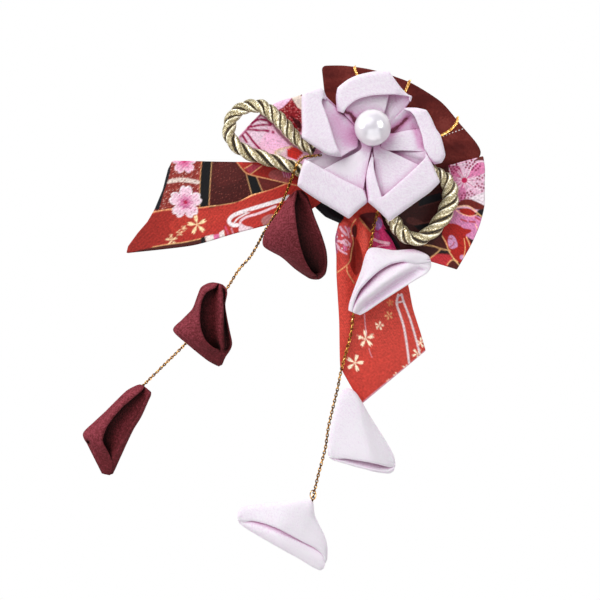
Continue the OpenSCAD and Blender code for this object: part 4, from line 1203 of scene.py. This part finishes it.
# painted reflection: the colour is greyer on the bead's face, its top, than round its sides
height = add(tree, "ShaderNodeSeparateXYZ", {"Vector": place}).outputs["Z"]
level = scaled(tree, cloud, 0.3, mapped(tree, height, 0.0207, 0.0267))
feed(shader, Base_Color=ramp(tree, level, (0.4, "#FDF6FA"), (0.75, "#F4EEF4"), (0.95, "#E2DDE4"),
                             (1.0, "#DBD7DF")))
relief(shader, cloud, 0.04, 0.0004)
PEARL_R = 6
PEARL_AT = (-0.2, 3.8, 20.7)
PEARL_SIDES = 96
HOLE_R = 0.55
HOLE_EDGE = 0.06  # how far the hole's edge is rounded
# the outline runs over the ball from hole to hole and back through the drilled hole
first = math.asin(HOLE_R / PEARL_R)
profile = [(-math.cos(a) * PEARL_R, math.sin(a) * PEARL_R) for a in np.linspace(first, math.pi - first, 61)]
hole = [(profile[-1][0] - d, HOLE_R - HOLE_EDGE) for d in (0.15, 1.0, 3.0)]
profile = profile + hole + [(-p, h) for p, h in hole[::-1]]
around = round_a_circle(PEARL_SIDES)
points = PEARL_AT + np.array([[p, h * math.cos(a), h * math.sin(a)] for p, h in profile for a in around])
faces = [face[::-1] for face in ring_faces(len(profile), PEARL_SIDES, True)]
put_on(mesh_piece("pearl_bead", pearl_lustre, points, faces), "pearl")

# Chains
# Fine gold plated cable chain of oval wire links, each turned a quarter to the next, that hangs from
# under the flower.
plated, tree, shader = new_finish("brass gold plated", Metallic=1.0)
rubbed = noise(tree, object_place(tree), 900, 2)
# painted shade: the plating's colour is darker where one link lies on the next
level = scaled(tree, hidden_share(tree, 0.0007), 0.73, scaled(tree, rubbed, 0.9, -0.5))
feed(shader, Base_Color=ramp(tree, level, (0.2, "#120801"), (0.48, "#2E1A0A"), (0.66, "#6A4416"),
                             (0.8, "#B98A44"), (0.93, "#F4DDAC")),
     Roughness=mapped(tree, rubbed, 0, 1, 0.18, 0.42))


def chain_link(tree, given):
    """An oval link of round wire, upright and lying by turns."""
    ring = add(tree, "GeometryNodeCurvePrimitiveCircle", {"Resolution": 12, "Radius": 1.0}, mode="RADIUS")
    # the ring's middle line is half a wire inside the outer size
    wide, long = [scaled(tree, scaled(tree, given["Wire"], -1, given[label]), 0.5)
                  for label in ("Wide", "Long")]
    size = add(tree, "ShaderNodeCombineXYZ", {"X": wide, "Y": long, "Z": 1.0})
    oval = add(tree, "GeometryNodeTransform", {"Geometry": ring.outputs["Curve"], "Scale": size.outputs[0]})
    upright = add(tree, "GeometryNodeTransform", {"Geometry": oval.outputs["Geometry"],
                                                  "Rotation": (math.pi / 2, 0, 0)})
    thick = scaled(tree, given["Wire"], 0.5)
    profile = add(tree, "GeometryNodeCurvePrimitiveCircle", {"Resolution": 6, "Radius": thick}, mode="RADIUS")
    link = add(tree, "GeometryNodeCurveToMesh", {"Curve": upright.outputs["Geometry"],
                                                 "Profile Curve": profile.outputs["Curve"]})
    count = add(tree, "GeometryNodeInputIndex")
    odd = add(tree, "ShaderNodeMath", {0: count.outputs[0], 1: 2.0}, operation="MODULO")
    twist = add(tree, "ShaderNodeCombineXYZ", {"Z": scaled(tree, odd.outputs[0], math.pi / 2, 0.3)})
    return link.outputs["Mesh"], twist.outputs[0], (1, 1, 1)


links = path_tree("links along a path", ("Wire", "Long", "Wide"), chain_link)
for name, pitch, wire, long, wide, route in (
    ("chain_left", 0.86, 0.37, 1.62, 1.12, [
        [-17.5, -4.8, 16.2], [-20, -5.2, 17.2], [-22.5, -5.6, 17.7], [-24.8, -7.5, 17.6],
        [-26, -10.5, 16.7], [-27.5, -14, 13.8], [-29, -18, 11.6], [-31.5, -22.5, 10.6],
        [-34, -26.8, 10], [-36.2, -30, 8.2], [-38.2, -33.5, 4.2], [-41, -38, 1.1], [-45, -42.5, 0.8],
        [-49, -48.8, 0.8], [-56.5, -59, 0.8], [-63, -67.5, 0.8], [-70, -74.5, 0.8], [-79, -83.3, 0.8]
    ]),
    ("chain_right", 1.0, 0.38, 1.78, 1.22, [
        [2.4, -22, 12.6], [1.5, -25, 12.4], [0.5, -29, 12.1], [-0.5, -35, 11.2], [-3.7, -46, 9.6],
        [-6, -57.5, 7.2], [-7, -65, 5.8], [-10, -76.5, 3.7], [-11.2, -83, 1], [-14.2, -95.5, 0.8],
        [-15.4, -103.5, 0.8], [-17.9, -113, 0.8], [-20.3, -123.5, 0.8]
    ])
):
    piece = grown(name + "_links", links, [along(route, np.linspace(0, 1, 400))],
                  {"Pitch": pitch * MM, "Wire": wire * MM, "Long": long * MM, "Wide": wide * MM,
                   "Finish": plated})
    put_on(piece, name)
# a larger ring holds the last petal
RING_STEPS, WIRE_SIDES, WIRE_R = 24, 8, 0.17
RING_AT = (-19.6, -119.3, 1.6)
turn = round_a_circle(RING_STEPS)
oval = RING_AT + np.stack([1.0 * np.cos(turn), 1.6 * np.sin(turn), 0.1 * np.sin(turn)], axis=1)
ahead = unit(np.roll(oval, -1, axis=0) - np.roll(oval, 1, axis=0))
side = unit(np.cross(ahead, [0, 0, 1]))
up = np.cross(side, ahead)
bend = round_a_circle(WIRE_SIDES)[None, :, None]
ring = oval[:, None] + WIRE_R * (side[:, None] * np.cos(bend) + up[:, None] * np.sin(bend))
put_on(mesh_piece("chain_right_ring", plated, ring.reshape(-1, 3), ring_faces(RING_STEPS, WIRE_SIDES, True)))

# Hanging petals
# Squares of crepe folded to open petals, three maroon ones on the left chain and three pale ones on the
# right chain, each with its mouth open upward.
DROP_FOLD_R = 0.9  # half the height of a full fold at the outline
FULL_HOLLOW = 2.2  # a mouth this wide is hollow down to its floor
NEEDLE_HOLE = (-96, -101.2)

# its colour deepens with painted shade in folds and hollows
maroon_crepe = shaded_crepe(
    "maroon crepe", (0.6, (0.5, 1.2)), (0.009, 0.18, 0.95), (0.8, 0.6), -0.77,
    (0.0, "#1C0707"), (0.35, "#3C1213"), (0.75, "#682329"), (1.0, "#943F4B"),
    Roughness=0.75, Specular_IOR_Level=0.04, Sheen_Weight=0.02, Sheen_Roughness=0.35)


def drop_grid(table, mouth, rim, crown, ridge, floor, stations=72, per=6):
    """Sections of a hanging petal. Each row gives the far wall's outline, the line where it turns into
    the hollow, the front wall's free edge, the front wall's outline and the height of the underside."""
    t = np.linspace(0, 1, stations)
    r = along(table, t)
    far, turn, lip, front, z = r[:, :2], r[:, 2:4], r[:, 4:6], r[:, 6:8], r[:, 8]
    opened = 0.3 + 0.7 * np.sin(math.pi * t)
    hollow = np.clip(np.linalg.norm(turn - lip, axis=1) / FULL_HOLLOW, 0, 1)
    wide = np.linalg.norm(lip - front, axis=1)
    toward = unit(lip - front)
    back = toward * np.minimum(0.8, wide * 0.4)[:, None]
    roll = toward * np.minimum(0.6, wide * 0.3)[:, None]
    bend = DROP_FOLD_R * np.clip(0.3 + wide / FULL_BAND, 0, 1)
    brow = z + DROP_FOLD_R + (rim - DROP_FOLD_R) * opened
    edge = blend(brow + 0.05, z + DROP_FOLD_R + (mouth - DROP_FOLD_R) * opened, np.sqrt(hollow))
    crown = blend(brow, z + DROP_FOLD_R + (crown - DROP_FOLD_R) * opened, hollow)
    ridge = blend(brow, z + DROP_FOLD_R + (ridge - DROP_FOLD_R) * opened, hollow)
    under = edge - 0.1 - 0.8 * hollow
    return through(np.stack([
        raised(blend(far, front, 0.3), z + 0.1), raised(blend(far, front, 0.06), z + 0.2),
        raised(far, blend(z, brow, 0.55)), raised(blend(far, turn, 0.5), crown),
        raised(turn, ridge), raised(blend(turn, lip, 0.5), blend(brow - 0.05, z + floor, hollow)),
        raised(blend(lip, front, 0.45), z + 0.35), raised(front + back, z + 0.1), raised(front, z + bend),
        raised(front + back, z + 2 * bend), raised(blend(front, lip, 0.5), blend(z + 2 * bend, edge, 0.65)),
        raised(lip - roll, edge), raised(lip, blend(edge, under, 0.35)), raised(lip - roll, under)
    ], axis=1), per)


for name, table, mouth, rim, crown, ridge, floor, finish, slot in (
    ("drop_left_1", [
        [-23.9, -16.4, -24.4, -16.4, -25, -16.5, -25.8, -16.8, 12.8],
        [-23, -16.9, -24, -18.1, -25.4, -18.5, -26.4, -17.4, 12.8],
        [-21.5, -19, -22.1, -20.1, -26, -21.4, -28.1, -19, 12.7],
        [-19.4, -25.1, -20.3, -25.1, -25.7, -25.9, -30.8, -23.4, 12.2],
        [-17.1, -30.8, -18.4, -30.2, -25.1, -30.3, -35.3, -29.6, 10.2],
        [-15.4, -36.2, -16.7, -35.2, -24.1, -35, -36.2, -34.5, 7.4],
        [-15, -40.4, -16, -39.4, -22.4, -39.8, -30.1, -38.2, 4.8],
        [-15.5, -43.6, -16.8, -42.7, -20.3, -43.2, -25.6, -42.1, 2.8],
        [-16.8, -45.1, -18.6, -44.4, -18.5, -44.5, -21.1, -45.1, 1.8],
        [-17.8, -45.6, -18.7, -45.7, -18.6, -45.7, -19.2, -45.6, 1.2]
    ], 6.8, 3, 3, 2.6, 0.7, maroon_crepe, "maroon_crepe"),
    ("drop_left_2", [
        [-50.5, -47.7, -51.2, -47.4, -52, -47.2, -53.4, -47, 2.4],
        [-49.3, -49, -51.3, -48.7, -53, -48.6, -55.3, -47.3, 2.4],
        [-49, -50.7, -50.9, -50.6, -55.9, -50.3, -57.6, -48.7, 2.4],
        [-49.6, -54.3, -50.6, -53.9, -57.5, -53.9, -58.9, -51.8, 2.3],
        [-49.1, -58.2, -50.6, -57.8, -57.9, -58.5, -60.5, -55.9, 2.3],
        [-48.2, -62.8, -50.8, -62.1, -57.5, -62.6, -64, -59.6, 2.3],
        [-47.3, -67.2, -50.9, -66.4, -56, -66.4, -67, -63.1, 2.3],
        [-47.8, -69.4, -50.5, -68.6, -53.5, -68.9, -62.1, -67.8, 2.3],
        [-49.6, -72.1, -51.1, -70.6, -51, -70.5, -55.7, -73, 2],
        [-50.8, -74.8, -51.7, -75.2, -51.6, -75.2, -52.3, -75, 1.6]
    ], 6.3, 4.2, 0.9, 4.4, 1.2, maroon_crepe, "maroon_crepe"),
    ("drop_left_3", [
        [-74.9, -84.2, -76, -83.1, -77.1, -82.3, -78.4, -81.7, 2.3],
        [-75, -85.3, -76.4, -84.4, -77.8, -83.4, -80, -82.2, 2.3],
        [-75.8, -87.1, -77.2, -87.1, -80.5, -85.7, -82.9, -83.8, 2.2],
        [-78.2, -92.4, -79.9, -92.2, -84.2, -88.9, -86.6, -87.3, 1.8],
        [-80.9, -96.8, -82.4, -96.2, -87.3, -92.5, -90.1, -90.8, 1.4],
        [-83.3, -101.7, -85.3, -100.4, -89.7, -96, -94.1, -94.5, 1],
        [-84.8, -105, -87.3, -103.2, -91, -100.3, -97.9, -98.5, 0.8],
        [-85.8, -107.1, -88.6, -105.1, -89.4, -104.2, -95.9, -103, 0.8],
        [-87.1, -110, -88, -108.4, -87.8, -108.5, -93.2, -108.4, 0.8],
        [-88.1, -112, -89, -112.2, -88.9, -112.3, -91.5, -111.8, 0.8]
    ], 5.6, 3, 3, 2.4, 1.2, maroon_crepe, "maroon_crepe"),
    ("drop_right_1", [
        [-4.1, -57.6, -5.5, -57.2, -6.4, -56.7, -7.6, -56.2, 9.8],
        [-3.5, -57.4, -5.2, -56.3, -6.4, -55.3, -7.4, -54.4, 9.8],
        [-1, -55.9, -3.8, -53.6, -5.8, -52.8, -6.8, -52.2, 10.6],
        [2.7, -53.3, -1, -51.1, -4.3, -49.4, -5.6, -48.7, 11.5],
        [6.9, -50.6, 2.6, -48.1, -1.4, -46.1, -3.6, -43.4, 12.2],
        [10.9, -48.1, 6.3, -45.5, 2.1, -43, -0.8, -35.8, 12],
        [14.8, -45.7, 9.8, -43.4, 6, -40.8, 7.2, -36.4, 11.4],
        [18, -43.8, 12.5, -41.9, 10, -40, 13.9, -36.1, 11],
        [19.3, -42.1, 14.4, -40.5, 14.2, -40.8, 18.3, -37.8, 10.8],
        [19.6, -40.9, 19.5, -39.9, 19.5, -40.1, 19.4, -39.3, 10.7]
    ], 4.2, 3, 0.6, 3.8, 3, pale_crepe, "pale_crepe"),
    ("drop_right_2", [
        [-13, -107, -13.4, -106.7, -13.8, -106.3, -14.2, -105.8, 1.8],
        [-11.6, -107.5, -11.7, -107, -11.7, -106.6, -14.2, -103.7, 1.8],
        [-8.2, -108.4, -8.2, -107.8, -8.7, -106.4, -13.7, -98.7, 2.2],
        [-5.2, -109.3, -5.2, -108.5, -5.5, -106.8, -12.4, -92.1, 2.4],
        [-2.1, -110, -2.2, -109.2, -2.5, -107.2, -9.5, -83.6, 2.6],
        [1.1, -110.9, 0.8, -109.9, 0.2, -107.7, -5.4, -84.2, 2.6],
        [4.2, -111.5, 3.6, -110.4, 3.1, -108.5, -0.2, -92.7, 1.6],
        [6.5, -111.7, 5.7, -110.5, 5.2, -109.2, 5.4, -101.6, 1],
        [7.7, -111, 7, -110.1, 6.7, -109.6, 7.8, -106.1, 0.8],
        [8.1, -110.1, 8.2, -109.6, 8.3, -109.2, 8.3, -108.6, 0.8]
    ], 3.6, 1.8, 2, 1.7, 1, pale_crepe, "pale_crepe"),
    ("drop_right_3", [
        [-44.6, -128.8, -45, -127.8, -45, -128, -45.2, -127.2, 0.8],
        [-43.2, -130, -43.15, -128.5, -43.1, -128.3, -45, -125.3, 0.8],
        [-39.3, -132.4, -40.5, -129.4, -40.1, -127.8, -43.5, -123.5, 0.8],
        [-34.5, -135.1, -36.5, -130.4, -35.9, -128.6, -36, -122.4, 1.2],
        [-29.7, -137.7, -31.7, -132.1, -31.2, -130.2, -28.2, -121.5, 2],
        [-24.5, -140.6, -26.7, -134.1, -26.5, -132.8, -20.4, -121.3, 1.6],
        [-20.6, -143.1, -22.4, -136.2, -22.2, -135.2, -19.1, -126.5, 1.2],
        [-17.6, -144.7, -19.3, -138.1, -19, -137, -15.8, -133.5, 0.9],
        [-16.6, -144.6, -16.7, -140.2, -16.4, -139.4, -14.9, -137.5, 0.8],
        [-16, -144, -15.6, -142.4, -15.4, -142.1, -15, -141.4, 0.8]
    ], 3.4, 2, 2.6, 2.6, 1.9, pale_crepe, "pale_crepe")
):
    # one petal has the needle hole of a thread, which takes finer sections
    pierced = name == "drop_left_3"
    grid = drop_grid(table, mouth, rim, crown, ridge, floor, 140 if pierced else 72)
    if pierced:
        away = np.hypot(grid[:, :, 0] - NEEDLE_HOLE[0], grid[:, :, 1] - NEEDLE_HOLE[1])
        grid[:, :, 2] -= np.where(grid[:, :, 2] > 1.6, 1.9 * np.exp(-(away / 0.65) ** 2), 0)
    # painted shade toward the lower right of the maroon cloth, and painted light toward the lower right of
    # the pale cloth
    across = grid[:, :, 0] - grid[:, :, 1]
    much = 0.3 if slot == "maroon_crepe" else -0.16
    shade_paint = (across - across.min()) / (across.max() - across.min()) * much
    # and painted light in the mouths that face the lamp
    if name in ("drop_left_2", "drop_left_3"):
        shade_paint = shade_paint - 0.12 * np.interp(np.arange(grid.shape[1]), [23, 27, 38, 42], [0, 1, 1, 0])
    cloth(name, finish, grid, PETAL_WALL, np.repeat(shade_paint[:, :, None], 4, axis=2), "painted_shading")

# Table and light
# A plain white table with an even glow of its own, a soft lamp from the upper left and an even white
# room.
scene = bpy.context.scene
scene.view_settings.view_transform = "Standard"
table_top = bpy.data.materials.new("white table")
table_top.use_nodes = True
tree = table_top.node_tree
tree.nodes.clear()
glow = add(tree, "ShaderNodeEmission", {"Color": (1, 1, 1, 1), "Strength": 1.0})
add(tree, "ShaderNodeOutputMaterial", {"Surface": glow.outputs["Emission"]})
half, drop = 0.6, 0.0002  # half its side and how far it lies under the part, in metres
mesh = bpy.data.meshes.new("table")
mesh.from_pydata([(x * half, y * half, -drop) for x, y in ((-1, -1), (1, -1), (1, 1), (-1, 1))],
                 [], [(0, 1, 2, 3)])
mesh.materials.append(table_top)
new_object("table", mesh)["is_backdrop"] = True
room = bpy.data.worlds.new("room")
room.use_nodes = True
room.node_tree.nodes["Background"].inputs["Color"].default_value = (1, 1, 1, 1)
room.node_tree.nodes["Background"].inputs["Strength"].default_value = 0.52
scene.world = room
lamp = bpy.data.lights.new("soft lamp", "SUN")
lamp.energy = 2.1
lamp.angle = 0.9
new_object("soft lamp", lamp).rotation_euler = (math.radians(-38), math.radians(-32), 0)
# soft boxes that show only as glints, on the bead, the cord and the chains
BOX_AWAY = 0.6  # shortens every box's place, which also says where the box faces
for name, place, size, power in (("soft box right", (0.71, 0.24, 0.66), 0.3, 8),
                                 ("soft box left", (-0.9, 0.25, 0.36), 0.34, 7),
                                 ("soft box front", (0.05, -0.8, 0.6), 0.9, 11)):
    box = bpy.data.lights.new(name, "AREA")
    box.size = size
    box.energy = power
    lit = new_object(name, box)
    lit.location = [c * BOX_AWAY for c in place]
    lit.rotation_euler = Vector(place).to_track_quat("Z", "Y").to_euler()
    lit.visible_diffuse = False

# Size of the dressed part
low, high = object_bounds()
